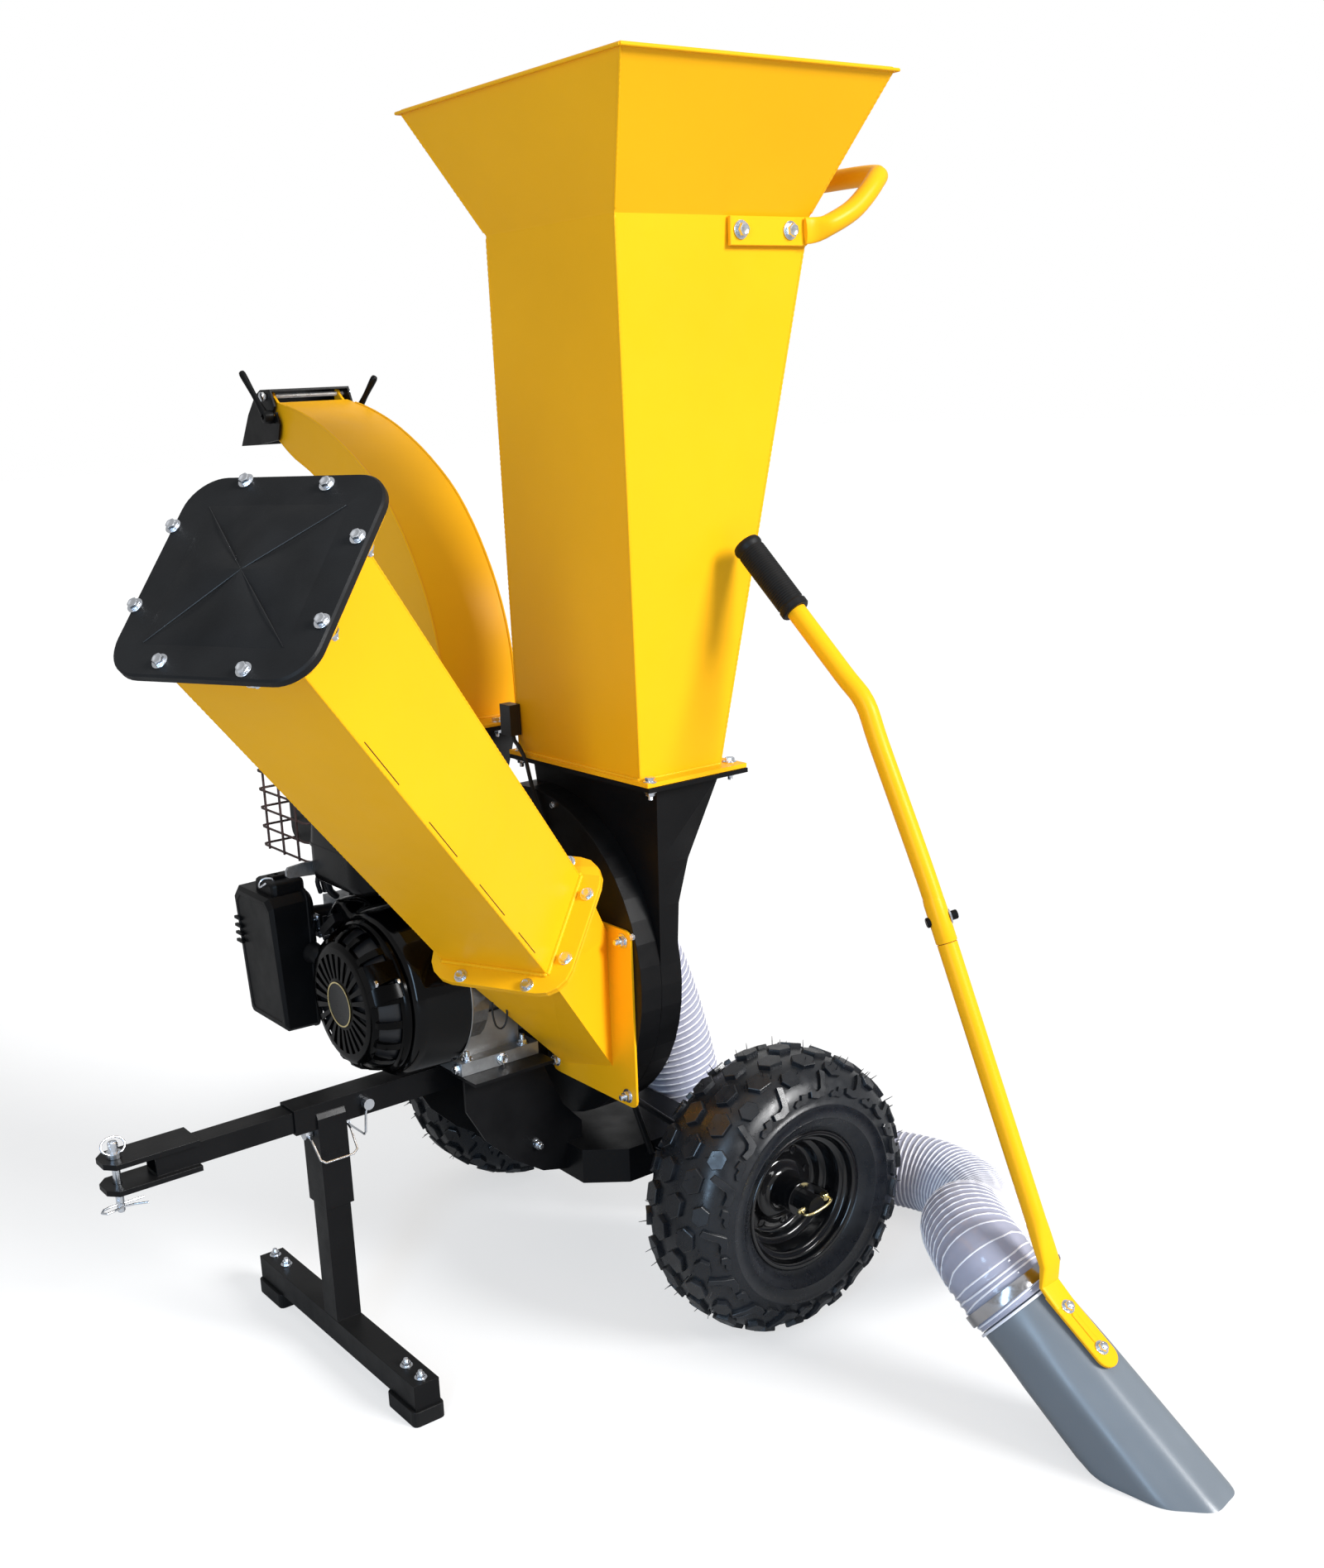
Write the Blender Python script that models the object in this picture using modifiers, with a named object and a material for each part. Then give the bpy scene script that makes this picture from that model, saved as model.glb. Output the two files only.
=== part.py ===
# Petrol garden shredder: two-wheeled chipper-shredder with vacuum hose and wand.
# Metres, +Z up.  +X points away from the drawbar, -Y is the side of the wand.
# The origin is on the floor, under the middle of the machine's box.
import math
import bpy
import bmesh
from mathutils import Vector, Matrix

OBJECT = "garden_shredder"

# ---------------------------------------------------------------- dimensions
OX, OY = 0.25843, -0.11728          # axle centre in the object's frame
GAP = 0.0003                     # clearance between touching pieces

# wheels (145/70-6 tyre)
WHEEL_R = 0.175
WHEEL_Y = 0.2817                 # half track
RIM_R = 0.0860
AXLE_R = 0.0125
AXLE_LEN = 0.704

# crank line, shredding drum
CRANK_Z = 0.4415
DRUM_R = 0.210
DRUM_X0, DRUM_XM, DRUM_X1 = -0.139, -0.109, -0.079
SHEET = 0.003

# hopper sections: centre x, centre y, half x, half y, height
HOP_BOTTOM = (-0.0689, -0.0863, 0.0585, 0.1207, 0.6846)
HOP_BEND = (-0.0250, -0.1211, 0.1327, 0.1171, 1.2799)
HOP_RIM = (-0.0270, -0.1195, 0.1795, 0.2009, 1.4162)

# chipper chute: axis from the drum face up to the mouth
CH_YAW, CH_PITCH = math.radians(26.14), math.radians(44.9)
CH_FOOT = Vector((-0.142, -0.090, 0.410))
CH_FLANGE = 0.200
CH_LEN = 0.7885

# discharge chute
DC_X0, DC_X1 = -0.139, -0.027
DC_Z = 0.700
DEFL_Y, DEFL_Z = 0.607, 1.124

# drawbar and stand
BAR_Z = 0.3205
BAR_HY, BAR_HZ = 0.0180, 0.0155
BAR_X0, BAR_X1 = -0.500, -0.145
STAND_X = -0.4545
PIN1_Z = 0.2965
PIN2_X = -0.408
HITCH_X = -0.7065
FOOT_HALF = 0.1962
FOOT_TOP = 0.051

# engine
ENG_BASE = 0.3365

# vacuum hose
HOSE_R = 0.0525
WAND_R = 0.0110

# ---------------------------------------------------------------- start clean
for ob in list(bpy.data.objects):
    bpy.data.objects.remove(ob, do_unlink=True)
scene = bpy.context.scene
parts = bpy.data.collections.new(OBJECT)
scene.collection.children.link(parts)

root = bpy.data.objects.new("machine_frame", None)
root.location = (OX, OY, 0.0)
parts.objects.link(root)

COLOURS = {
    "yellow": ((0.86, 0.48, 0.02, 1), 0.30, 0.0),
    "black_paint": ((0.018, 0.018, 0.020, 1), 0.42, 0.0),
    "black_gloss": ((0.010, 0.010, 0.011, 1), 0.16, 0.0),
    "black_plastic": ((0.022, 0.022, 0.024, 1), 0.50, 0.0),
    "rubber": ((0.020, 0.020, 0.021, 1), 0.75, 0.0),
    "tyre": ((0.026, 0.026, 0.028, 1), 0.80, 0.0),
    "zinc": ((0.72, 0.73, 0.75, 1), 0.30, 1.0),
    "brass": ((0.80, 0.62, 0.25, 1), 0.32, 1.0),
    "cast": ((0.62, 0.63, 0.65, 1), 0.42, 1.0),
    "steel": ((0.50, 0.51, 0.53, 1), 0.35, 1.0),
    "grey_plastic": ((0.22, 0.22, 0.23, 1), 0.38, 0.0),
    "hose": ((0.80, 0.78, 0.88, 1), 0.25, 0.0),
}


def finish(ob, name, colour):
    """Name the piece, give it its own material and hang it on the frame."""
    ob.name = name
    ob.data.name = name
    rgba, rough, metal = COLOURS[colour]
    mat = bpy.data.materials.new(name)
    mat.use_nodes = True
    bsdf = mat.node_tree.nodes["Principled BSDF"]
    bsdf.inputs["Base Color"].default_value = rgba
    bsdf.inputs["Roughness"].default_value = rough
    bsdf.inputs["Metallic"].default_value = metal
    ob.data.materials.clear()
    ob.data.materials.append(mat)
    ob.data.shade_smooth()
    ob.data.set_sharp_from_angle(angle=math.radians(35))
    if ob.name not in parts.objects:
        parts.objects.link(ob)
    ob.parent = root
    return ob


def on_axis(ob, point):
    """Put the piece's origin on a point of its joint's axis."""
    p = Vector(point)
    ob.data.transform(Matrix.Translation(-p))
    ob.location = p
    return ob


def new_object(mesh, name="tmp"):
    ob = bpy.data.objects.new(name, mesh)
    scene.collection.objects.link(ob)
    return ob


def settle(ob):
    """Apply the modifiers or turn a curve into a welded mesh, faces out."""
    bpy.context.view_layer.update()
    dg = bpy.context.evaluated_depsgraph_get()
    mesh = bpy.data.meshes.new_from_object(ob.evaluated_get(dg))
    mw = ob.matrix_world.copy()
    bpy.data.objects.remove(ob, do_unlink=True)
    bm = bmesh.new()
    bm.from_mesh(mesh)
    bmesh.ops.transform(bm, matrix=mw, verts=bm.verts)
    bmesh.ops.remove_doubles(bm, verts=bm.verts, dist=0.00003)
    bmesh.ops.dissolve_degenerate(bm, edges=bm.edges, dist=0.00003)
    bmesh.ops.recalc_face_normals(bm, faces=bm.faces)
    bm.to_mesh(mesh)
    bm.free()
    mesh.materials.clear()
    return new_object(mesh)


def frame(origin, zdir, xdir=None):
    """Matrix with its Z along zdir and its X as near xdir as it goes."""
    z = Vector(zdir).normalized()
    x = Vector(xdir) if xdir is not None else Vector((1, 0, 0))
    if abs(x.normalized().dot(z)) > 0.98:
        x = Vector((0, 1, 0))
    y = z.cross(x).normalized()
    x = y.cross(z).normalized()
    m = Matrix((x, y, z)).transposed().to_4x4()
    m.translation = Vector(origin)
    return m


def box(lo, hi):
    lo, hi = Vector(lo), Vector(hi)
    bm = bmesh.new()
    bmesh.ops.create_cube(bm, size=1.0)
    s = hi - lo
    bmesh.ops.transform(bm, matrix=Matrix.Translation((lo + hi) / 2) @ Matrix.Diagonal((s.x, s.y, s.z, 1)), verts=bm.verts)
    mesh = bpy.data.meshes.new("box")
    bm.to_mesh(mesh)
    bm.free()
    return new_object(mesh)


def obox(m, size):
    """Box centred on the frame m."""
    bm = bmesh.new()
    bmesh.ops.create_cube(bm, size=1.0)
    bmesh.ops.transform(bm, matrix=m @ Matrix.Diagonal((size[0], size[1], size[2], 1)), verts=bm.verts)
    mesh = bpy.data.meshes.new("obox")
    bm.to_mesh(mesh)
    bm.free()
    return new_object(mesh)


def rod(p, q, r, r2=None, seg=16):
    p, q = Vector(p), Vector(q)
    bm = bmesh.new()
    bmesh.ops.create_cone(bm, cap_ends=True, cap_tris=False, segments=seg,
                          radius1=r, radius2=r if r2 is None else r2, depth=(q - p).length)
    bmesh.ops.transform(bm, matrix=frame((p + q) / 2, q - p), verts=bm.verts)
    mesh = bpy.data.meshes.new("rod")
    bm.to_mesh(mesh)
    bm.free()
    return new_object(mesh)


def sphere(c, r, seg=12):
    bm = bmesh.new()
    bmesh.ops.create_uvsphere(bm, u_segments=seg, v_segments=max(6, seg // 2), radius=r)
    bmesh.ops.translate(bm, verts=bm.verts, vec=Vector(c))
    mesh = bpy.data.meshes.new("sphere")
    bm.to_mesh(mesh)
    bm.free()
    return new_object(mesh)


def plate(points, thick, m, holes=()):
    """Flat outline of the given thickness, on the XY plane of the frame m."""
    cu = bpy.data.curves.new("outline", 'CURVE')
    cu.dimensions = '2D'
    cu.fill_mode = 'BOTH'
    cu.extrude = thick / 2
    for loop in [points] + list(holes):
        sp = cu.splines.new('POLY')
        sp.points.add(len(loop) - 1)
        for i, (x, y) in enumerate(loop):
            sp.points[i].co = (x, y, 0, 1)
        sp.use_cyclic_u = True
    ob = bpy.data.objects.new("outline", cu)
    scene.collection.objects.link(ob)
    ob.matrix_world = m
    return settle(ob)


def wire(points, r, res=2, cyclic=False):
    cu = bpy.data.curves.new("wire", 'CURVE')
    cu.dimensions = '3D'
    cu.bevel_depth = r
    cu.bevel_resolution = res
    cu.use_fill_caps = True
    sp = cu.splines.new('POLY')
    sp.points.add(len(points) - 1)
    for i, p in enumerate(points):
        sp.points[i].co = (p[0], p[1], p[2], 1)
    sp.use_cyclic_u = cyclic
    ob = bpy.data.objects.new("wire", cu)
    scene.collection.objects.link(ob)
    return settle(ob)


def turned(profile, origin, axis, seg=32, closed=True):
    """Profile of (radius, height) pairs turned about the axis through origin."""
    mesh = bpy.data.meshes.new("profile")
    n = len(profile)
    edges = [(i, i + 1) for i in range(n - 1)]
    if closed:
        edges.append((n - 1, 0))
    mesh.from_pydata([(r, 0, h) for r, h in profile], edges, [])
    ob = new_object(mesh)
    md = ob.modifiers.new("turn", 'SCREW')
    md.steps = seg
    md.render_steps = seg
    md.use_merge_vertices = True
    md.merge_threshold = 0.00005
    ob.matrix_world = frame(origin, axis)
    return settle(ob)


def boolean(a, b, op):
    md = a.modifiers.new("bool", 'BOOLEAN')
    md.operation = op
    md.solver = 'EXACT'
    md.object = b
    out = settle(a)
    bpy.data.objects.remove(b, do_unlink=True)
    return out


def union(a, *others):
    for b in others:
        a = boolean(a, b, 'UNION')
    return a


def cut(a, *others):
    for b in others:
        a = boolean(a, b, 'DIFFERENCE')
    return a


def rounded(hx, hy, r, n=4, cx=0.0, cy=0.0):
    """Corner-rounded rectangle, anticlockwise."""
    out = []
    for sx, sy, a0 in ((1, 1, 0), (-1, 1, 90), (-1, -1, 180), (1, -1, 270)):
        for k in range(n + 1):
            a = math.radians(a0 + 90 * k / n)
            out.append((cx + sx * (hx - r) + r * math.cos(a), cy + sy * (hy - r) + r * math.sin(a)))
    return out


def arc(cx, cy, r, a0, a1, n):
    return [(cx + r * math.cos(math.radians(a0 + (a1 - a0) * k / n)),
             cy + r * math.sin(math.radians(a0 + (a1 - a0) * k / n))) for k in range(n + 1)]


def sleeve(sections, wall):
    """Open sheet-metal duct through a list of four-cornered sections."""
    bm = bmesh.new()
    rings = [[bm.verts.new(p) for p in s] for s in sections]
    for a, b in zip(rings[:-1], rings[1:]):
        n = len(a)
        for i in range(n):
            bm.faces.new((a[i], a[(i + 1) % n], b[(i + 1) % n], b[i]))
    bmesh.ops.recalc_face_normals(bm, faces=bm.faces)
    mesh = bpy.data.meshes.new("sleeve")
    bm.to_mesh(mesh)
    bm.free()
    ob = new_object(mesh)
    # faces point away from the duct's middle
    c = sum((Vector(p) for s in sections for p in s), Vector()) / sum(len(s) for s in sections)
    f = ob.data.polygons[0]
    if (f.center - c).dot(f.normal) < 0:
        ob.data.flip_normals()
    md = ob.modifiers.new("sheet", 'SOLIDIFY')
    md.thickness = wall
    md.offset = -1
    md.use_even_offset = True
    return settle(ob)


def loft(sections):
    """Solid through closed sections of equal point count."""
    bm = bmesh.new()
    rings = [[bm.verts.new(p) for p in s] for s in sections]
    for a, b in zip(rings[:-1], rings[1:]):
        n = len(a)
        for i in range(n):
            bm.faces.new((a[i], a[(i + 1) % n], b[(i + 1) % n], b[i]))
    bm.faces.new(rings[0])
    bm.faces.new(rings[-1])
    bmesh.ops.recalc_face_normals(bm, faces=bm.faces)
    mesh = bpy.data.meshes.new("loft")
    bm.to_mesh(mesh)
    bm.free()
    return new_object(mesh)


def rect_xy(cx, cy, hx, hy, z):
    return [(cx - hx, cy - hy, z), (cx + hx, cy - hy, z), (cx + hx, cy + hy, z), (cx - hx, cy + hy, z)]


def smooth(points, spacing):
    """Points at even spacing on a Catmull-Rom curve through the given ones."""
    P = [Vector(p) for p in points]
    P = [2 * P[0] - P[1]] + P + [2 * P[-1] - P[-2]]
    dense = []
    for i in range(1, len(P) - 2):
        a, b, c, d = P[i - 1], P[i], P[i + 1], P[i + 2]
        for k in range(24):
            t = k / 24
            dense.append(0.5 * ((2 * b) + (c - a) * t + (2 * a - 5 * b + 4 * c - d) * t * t
                                + (3 * b - a - 3 * c + d) * t ** 3))
    dense.append(P[-2])
    length = sum((q - p).length for p, q in zip(dense[:-1], dense[1:]))
    n = max(2, round(length / spacing))
    step, out, acc = length / n, [dense[0]], 0.0
    for p, q in zip(dense[:-1], dense[1:]):
        seg = (q - p).length
        while acc + seg >= step * len(out) - 1e-9 and len(out) < n:
            out.append(p + (q - p) * ((step * len(out) - acc) / seg))
        acc += seg
    out.append(dense[-1])
    return out, length


X, Y, Z = Vector((1, 0, 0)), Vector((0, 1, 0)), Vector((0, 0, 1))


def fr_x(x):
    """Frame whose plane is x = const, with local X = world Y and local Y = world Z."""
    return Matrix(((0, 0, 1, x), (1, 0, 0, 0), (0, 1, 0, 0), (0, 0, 0, 1)))


def fr_y(y):
    """Frame whose plane is y = const, with local X = world X and local Y = world Z."""
    return Matrix(((1, 0, 0, 0), (0, 0, -1, y), (0, 1, 0, 0), (0, 0, 0, 1)))


def fr_z(z):
    return Matrix.Translation((0, 0, z))


# ================================================================ chassis
# folded tray under the drum, open below, with bevelled front corners
tray_line = [(-0.157, -0.099), (-0.111, -0.135), (0.0240, -0.135), (0.0240, 0.135), (-0.111, 0.135), (-0.157, 0.099)]
tray = plate(tray_line, 0.045, fr_z(0.1845))
hollow = plate([(-0.153, -0.097), (-0.110, -0.131), (0.0200, -0.131), (0.0200, 0.131), (-0.110, 0.131), (-0.153, 0.097)], 0.045, fr_z(0.1805))
tray = cut(tray, hollow)
side_line = [(-0.300, 0.3355), (-0.300, 0.2900), (-0.275, 0.2450), (-0.240, 0.2100), (-0.195, 0.1800), (-0.133, 0.1650),
             (-0.133, 0.2300), (-0.160, 0.2600), (-0.186, 0.3200), (-0.190, 0.3355)]
for s in (-1, 1):
    tray = union(tray, plate(side_line, 0.004, fr_y(s * 0.065)))
# engine plate over the drawbar, between the side plates
tray = union(tray, box((-0.302, -0.095, 0.3320), (-0.188, 0.095, 0.3361)))
for s in (-1, 1):
    boss = rod((0, s * 0.1285, 0.175), (0, s * 0.150, 0.175), 0.021)
    tray = union(tray, boss)
tray = cut(tray, rod((0, -0.2, 0.175), (0, 0.2, 0.175), AXLE_R + GAP, seg=24))
tray = cut(tray, box((-0.35, -BAR_HY - GAP, 0.26), (-0.10, BAR_HY + GAP, BAR_Z + BAR_HZ + GAP)))
finish(tray, "chassis", "black_paint")

# braces from the drum's foot to the axle sleeve and the tray
for s, nm in ((-1, "brace_near"), (1, "brace_far")):
    top = Vector((-0.1200, s * 0.1570, 0.2870))
    br = rod(top, (-0.0160, s * 0.2120, 0.1902), 0.0040, seg=10)
    br = union(br, rod(top, (-0.0800, s * 0.1394, 0.1950), 0.0040, seg=10), sphere(top, 0.0058, 10))
    finish(br, nm, "black_paint")

# drawbar tube; the stand's sleeve hangs under it between two cheeks
bz0, bz1 = BAR_Z - BAR_HZ, BAR_Z + BAR_HZ
outer = box((BAR_X0, -BAR_HY, bz0), (BAR_X1, BAR_HY, bz1))
saddle = [(-0.0215, 0.2025), (0.0215, 0.2025), (0.0215, 0.3180), (0.0185, 0.3240), (0.0172, 0.3240), (0.0172, bz0 + 0.0010),
          (-0.0172, bz0 + 0.0010), (-0.0172, 0.3240), (-0.0185, 0.3240), (-0.0215, 0.3180)]
outer = union(outer, plate(saddle, 0.0370, fr_x(STAND_X)))
outer = cut(outer, box((BAR_X0 - 0.01, -0.0154, BAR_Z - 0.0131), (BAR_X1 + 0.01, 0.0154, BAR_Z + 0.0131)))
outer = cut(outer, box((STAND_X - 0.0168, -0.0168, 0.19), (STAND_X + 0.0168, 0.0168, bz0 - 0.0003)))
# holes for the two locking pins
outer = cut(outer, rod((STAND_X - 0.05, 0, PIN1_Z), (STAND_X + 0.05, 0, PIN1_Z), 0.0055, seg=12))
outer = cut(outer, rod((PIN2_X, -0.05, BAR_Z), (PIN2_X, 0.05, BAR_Z), 0.0055, seg=12))
finish(outer, "drawbar_tube", "black_paint")

# telescoping drawbar: tube, and two plates that make the hitch fork
inner = box((-0.667, -0.0150, BAR_Z - 0.0127), (-0.340, 0.0150, BAR_Z + 0.0127))
fork = [(-0.6165, -0.0225), (-0.6165, 0.0225), (-0.7130, 0.0225), (-0.7235, 0.0110), (-0.7235, -0.0110), (-0.7130, -0.0225)]
inner = union(inner, plate(fork, 0.0064, fr_z(BAR_Z + 0.0155)), plate(fork, 0.0064, fr_z(BAR_Z - 0.0155)))
inner = cut(inner, box((-0.70, -0.0125, BAR_Z - 0.0102), (-0.30, 0.0125, BAR_Z + 0.0102)))
inner = cut(inner, rod((HITCH_X, 0, 0.26), (HITCH_X, 0, 0.38), 0.0049, seg=16))
# adjusting slot for the locking pin, in both side walls
inner = cut(inner, box((PIN2_X - 0.0660, -0.05, BAR_Z - 0.0056), (PIN2_X + 0.0410, 0.05, BAR_Z + 0.0056)))
finish(inner, "drawbar_inner", "black_paint")

# hitch pin with its round head, and the spring clip in its foot
hitch = turned([(0.0, 0.3575), (0.0048, 0.3575), (0.0056, 0.3565), (0.0056, 0.3465), (0.0086, 0.3455), (0.0086, 0.3396), (0.0045, 0.3396),
                (0.0045, 0.2760), (0.0035, 0.2740), (0.0, 0.2740)], (HITCH_X, 0, 0), Z, 16, closed=False)
hitch = cut(hitch, rod((HITCH_X - 0.02, 0, 0.2830), (HITCH_X + 0.02, 0, 0.2830), 0.0019, seg=8))
finish(hitch, "hitch_pin", "zinc")
on_axis(hitch, (HITCH_X, 0, 0.30))
clip_pts = [(0.027, 0.0), (-0.012, 0.0), (-0.020, -0.002), (-0.0245, -0.008), (-0.020, -0.0135), (-0.012, -0.0120), (0.000, -0.0078), (0.012, -0.0105), (0.026, -0.0170)]
clip = wire([(HITCH_X + x, y, 0.2830) for x, y in clip_pts], 0.0014, 1)
finish(clip, "hitch_clip", "zinc")
on_axis(clip, (HITCH_X, 0, 0.2830))

# stand leg and foot bar
leg = box((STAND_X - 0.0162, -0.0162, FOOT_TOP - 0.001), (STAND_X + 0.0162, 0.0162, 0.3040))
bar = box((STAND_X - 0.0165, -FOOT_HALF, 0.0195), (STAND_X + 0.0165, FOOT_HALF, FOOT_TOP))
leg = union(leg, bar)
leg = cut(leg, rod((STAND_X - 0.03, 0, PIN1_Z), (STAND_X + 0.03, 0, PIN1_Z), 0.0055, seg=12))
finish(leg, "stand_leg", "black_paint")
on_axis(leg, (STAND_X, 0, 0.15))
for s, nm in ((-1, "foot_pad_near"), (1, "foot_pad_far")):
    y0, y1 = s * (FOOT_HALF - 0.060), s * (FOOT_HALF + 0.003)
    pad = plate(rounded(0.0205, 0.0315, 0.006, 3, STAND_X, (y0 + y1) / 2), 0.0192, fr_z(0.0096))
    finish(pad, nm, "rubber")

# locking pins with wire bails
xa, xb = STAND_X - 0.0190, STAND_X + 0.0190
pin = rod((xa - 0.0090, 0, PIN1_Z), (xb + 0.0120, 0, PIN1_Z), 0.0050, seg=12)
pin = union(pin, rod((xa - 0.0095, 0, PIN1_Z), (xa - 0.0005, 0, PIN1_Z), 0.0078, seg=12))
bail = wire([(xa - 0.0050, 0, PIN1_Z), (xa - 0.0050, -0.0120, PIN1_Z - 0.006), (xa - 0.0040, -0.0290, PIN1_Z - 0.025), (xa + 0.0010, -0.0320, PIN1_Z - 0.0285),
             (xb - 0.0010, -0.0320, PIN1_Z - 0.0285), (xb + 0.0060, -0.0290, PIN1_Z - 0.025), (xb + 0.0085, -0.0120, PIN1_Z - 0.006), (xb + 0.0085, 0.0, PIN1_Z)], 0.0014, 1)
pin = union(pin, bail)
finish(pin, "stand_pin", "zinc")
on_axis(pin, (STAND_X, 0, PIN1_Z))
pin = rod((PIN2_X, -0.0270, BAR_Z), (PIN2_X, 0.0310, BAR_Z), 0.0050, seg=12)
pin = union(pin, rod((PIN2_X, -0.0275, BAR_Z), (PIN2_X, -0.0186, BAR_Z), 0.0070, seg=12))
bail = wire([(PIN2_X, -0.0230, BAR_Z), (PIN2_X - 0.0040, -0.0240, BAR_Z - 0.012), (PIN2_X - 0.0060, -0.0240, BAR_Z - 0.034), (PIN2_X - 0.0060, -0.0205, BAR_Z - 0.0385),
             (PIN2_X - 0.0060, 0.0205, BAR_Z - 0.0385), (PIN2_X - 0.0060, 0.0265, BAR_Z - 0.033), (PIN2_X - 0.0030, 0.0270, BAR_Z - 0.012), (PIN2_X, 0.0270, BAR_Z)], 0.0014, 1)
pin = union(pin, bail)
finish(pin, "drawbar_pin", "zinc")
on_axis(pin, (PIN2_X, 0, BAR_Z))

# ================================================================ axle and wheels
LYNCH = Vector((0.985, 0, 0.172)).normalized()
axle = rod((0, -AXLE_LEN / 2, 0.175), (0, AXLE_LEN / 2, 0.175), AXLE_R, seg=16)
for s in (-1, 1):
    axle = union(axle, rod((0, s * 0.1510, 0.175), (0, s * 0.2260, 0.175), 0.0170, seg=16))
    axle = cut(axle, rod(Vector((0, s * 0.3440, 0.175)) - LYNCH * 0.025, Vector((0, s * 0.3440, 0.175)) + LYNCH * 0.025, 0.0030, seg=10))
finish(axle, "axle", "steel")

TYRE = [(0.1750, 0.0130), (0.1728, 0.0300), (0.1620, 0.0490), (0.1440, 0.0628), (0.1270, 0.0655), (0.1050, 0.0618),
        (0.0870, 0.0512), (0.0868, 0.0474), (0.0817, 0.0457), (0.0804, 0.0415), (0.0835, 0.0380), (0.1200, 0.0530), (0.1600, 0.0340)]
tyre_prof = TYRE + [(r, -h) for r, h in reversed(TYRE)]
RIM_HALF = [(0.0862, 0.0480), (0.0862, 0.0506), (0.0795, 0.0495), (0.0765, 0.0380), (0.0680, 0.0330), (0.0650, 0.0040), (0.0200, 0.0020),
            (0.0200, 0.0420), (0.0129, 0.0420)]
RIM = RIM_HALF + [(0.0129, -0.0420), (0.0200, -0.0420), (0.0200, -0.0020), (0.0650, -0.0010), (0.0680, -0.0330), (0.0765, -0.0380),
                  (0.0795, -0.0495), (0.0862, -0.0506), (0.0862, -0.0480), (0.0811, -0.0466), (0.0796, -0.0410), (0.0710, -0.0355),
                  (0.0710, 0.0355), (0.0796, 0.0410), (0.0811, 0.0466)]
for s, side in ((-1, "near"), (1, "far")):
    c = (0, s * WHEEL_Y, 0.175)
    ax = (0, s, 0)
    t = turned(tyre_prof, c, ax, 24)
    finish(t, "tyre_" + side, "tyre")
    on_axis(t, c)
    r = turned(RIM, c, ax, 24)
    finish(r, "rim_" + side, "black_gloss")
    on_axis(r, c)
    # lynch pin: shank through the axle, spring ring round its end
    ly = s * 0.3440
    lc = Vector((0, ly, 0.175))
    lp = rod(lc - LYNCH * 0.021, lc + LYNCH * 0.022, 0.0026, seg=10)
    lp = union(lp, wire([lc + LYNCH * u + Vector((0, s * v, 0)) for u, v in ((0.0190, 0.0), (0.0225, 0.0040), (0.0205, 0.0115), (0.0100, 0.0155),
                         (-0.0100, 0.0155), (-0.0195, 0.0115), (-0.0208, 0.0040), (-0.0185, 0.0005))], 0.0015, 1))
    finish(lp, "lynch_pin_" + side, "brass")

# ================================================================ shredding drum
front = turned([(0.0220, 0.0), (DRUM_R, 0.0), (DRUM_R, DRUM_XM - DRUM_X0 - GAP), (DRUM_R - SHEET, DRUM_XM - DRUM_X0 - GAP),
                (DRUM_R - SHEET, SHEET), (0.0220, SHEET)], (DRUM_X0, 0, CRANK_Z), X, 48)
front = cut(front, box((DRUM_X0 - 0.01, -0.1440, 0.338), (DRUM_X0 + 0.01, -0.050, 0.492)))
finish(front, "housing_front", "black_paint")

# rear half: drum ring and back plate, neck for the hopper, scroll duct for the discharge
rear = turned([(0.0490, DRUM_X1 - DRUM_XM), (0.0490, DRUM_X1 - DRUM_XM - SHEET), (DRUM_R - SHEET, DRUM_X1 - DRUM_XM - SHEET),
               (DRUM_R - SHEET, 0), (DRUM_R, 0), (DRUM_R, DRUM_X1 - DRUM_XM)], (DRUM_XM, 0, CRANK_Z), X, 48)
NX = DRUM_XM + 0.0002
neck_lo = [(NX, -0.2083, 0.455), (-0.0840, -0.2083, 0.455), (-0.0840, -0.020, 0.455), (NX, -0.020, 0.455)]
neck_a = [(NX, -0.2095, 0.537), (-0.0797, -0.2095, 0.537), (-0.0797, 0.004, 0.537), (NX, 0.004, 0.537)]
neck_mid = [(NX, -0.2103, 0.588), (-0.0645, -0.2103, 0.588), (-0.0645, 0.015, 0.588), (NX, 0.015, 0.588)]
neck_hi = [(NX, -0.2120, 0.6835), (-0.0140, -0.2120, 0.6835), (-0.0140, 0.0340, 0.6835), (NX, 0.0340, 0.6835)]
neck = sleeve([neck_lo, neck_a, neck_mid, neck_hi], SHEET)
core_n = loft([[(x + dx, y + dy, z) for (x, y, z), dx, dy in zip(s, (0.0031, -0.0031, -0.0031, 0.0031), (0.0031, 0.0031, -0.0031, -0.0031))]
               for s in (neck_lo, neck_a, neck_mid)])
duct_lo = [(NX, 0.130, 0.450), (-0.0797, 0.130, 0.450), (-0.0797, 0.2087, 0.450), (NX, 0.2087, 0.450)]
duct_mid = [(NX, 0.166, 0.600), (-0.0700, 0.166, 0.600), (-0.0700, 0.268, 0.600), (NX, 0.268, 0.600)]
duct_hi = [(DC_X0, 0.186, 0.6960), (DC_X1, 0.186, 0.6960), (DC_X1, 0.292, 0.6960), (DC_X0, 0.292, 0.6960)]
duct = sleeve([duct_lo, duct_mid, duct_hi], SHEET)
core_d = loft([[(x + dx, y + dy, z) for (x, y, z), dx, dy in zip(s, (0.0031, -0.0031, -0.0031, 0.0031), (0.0031, 0.0031, -0.0031, -0.0031))]
               for s in (duct_lo, duct_mid)])
rear = cut(rear, core_n, core_d)
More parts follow.
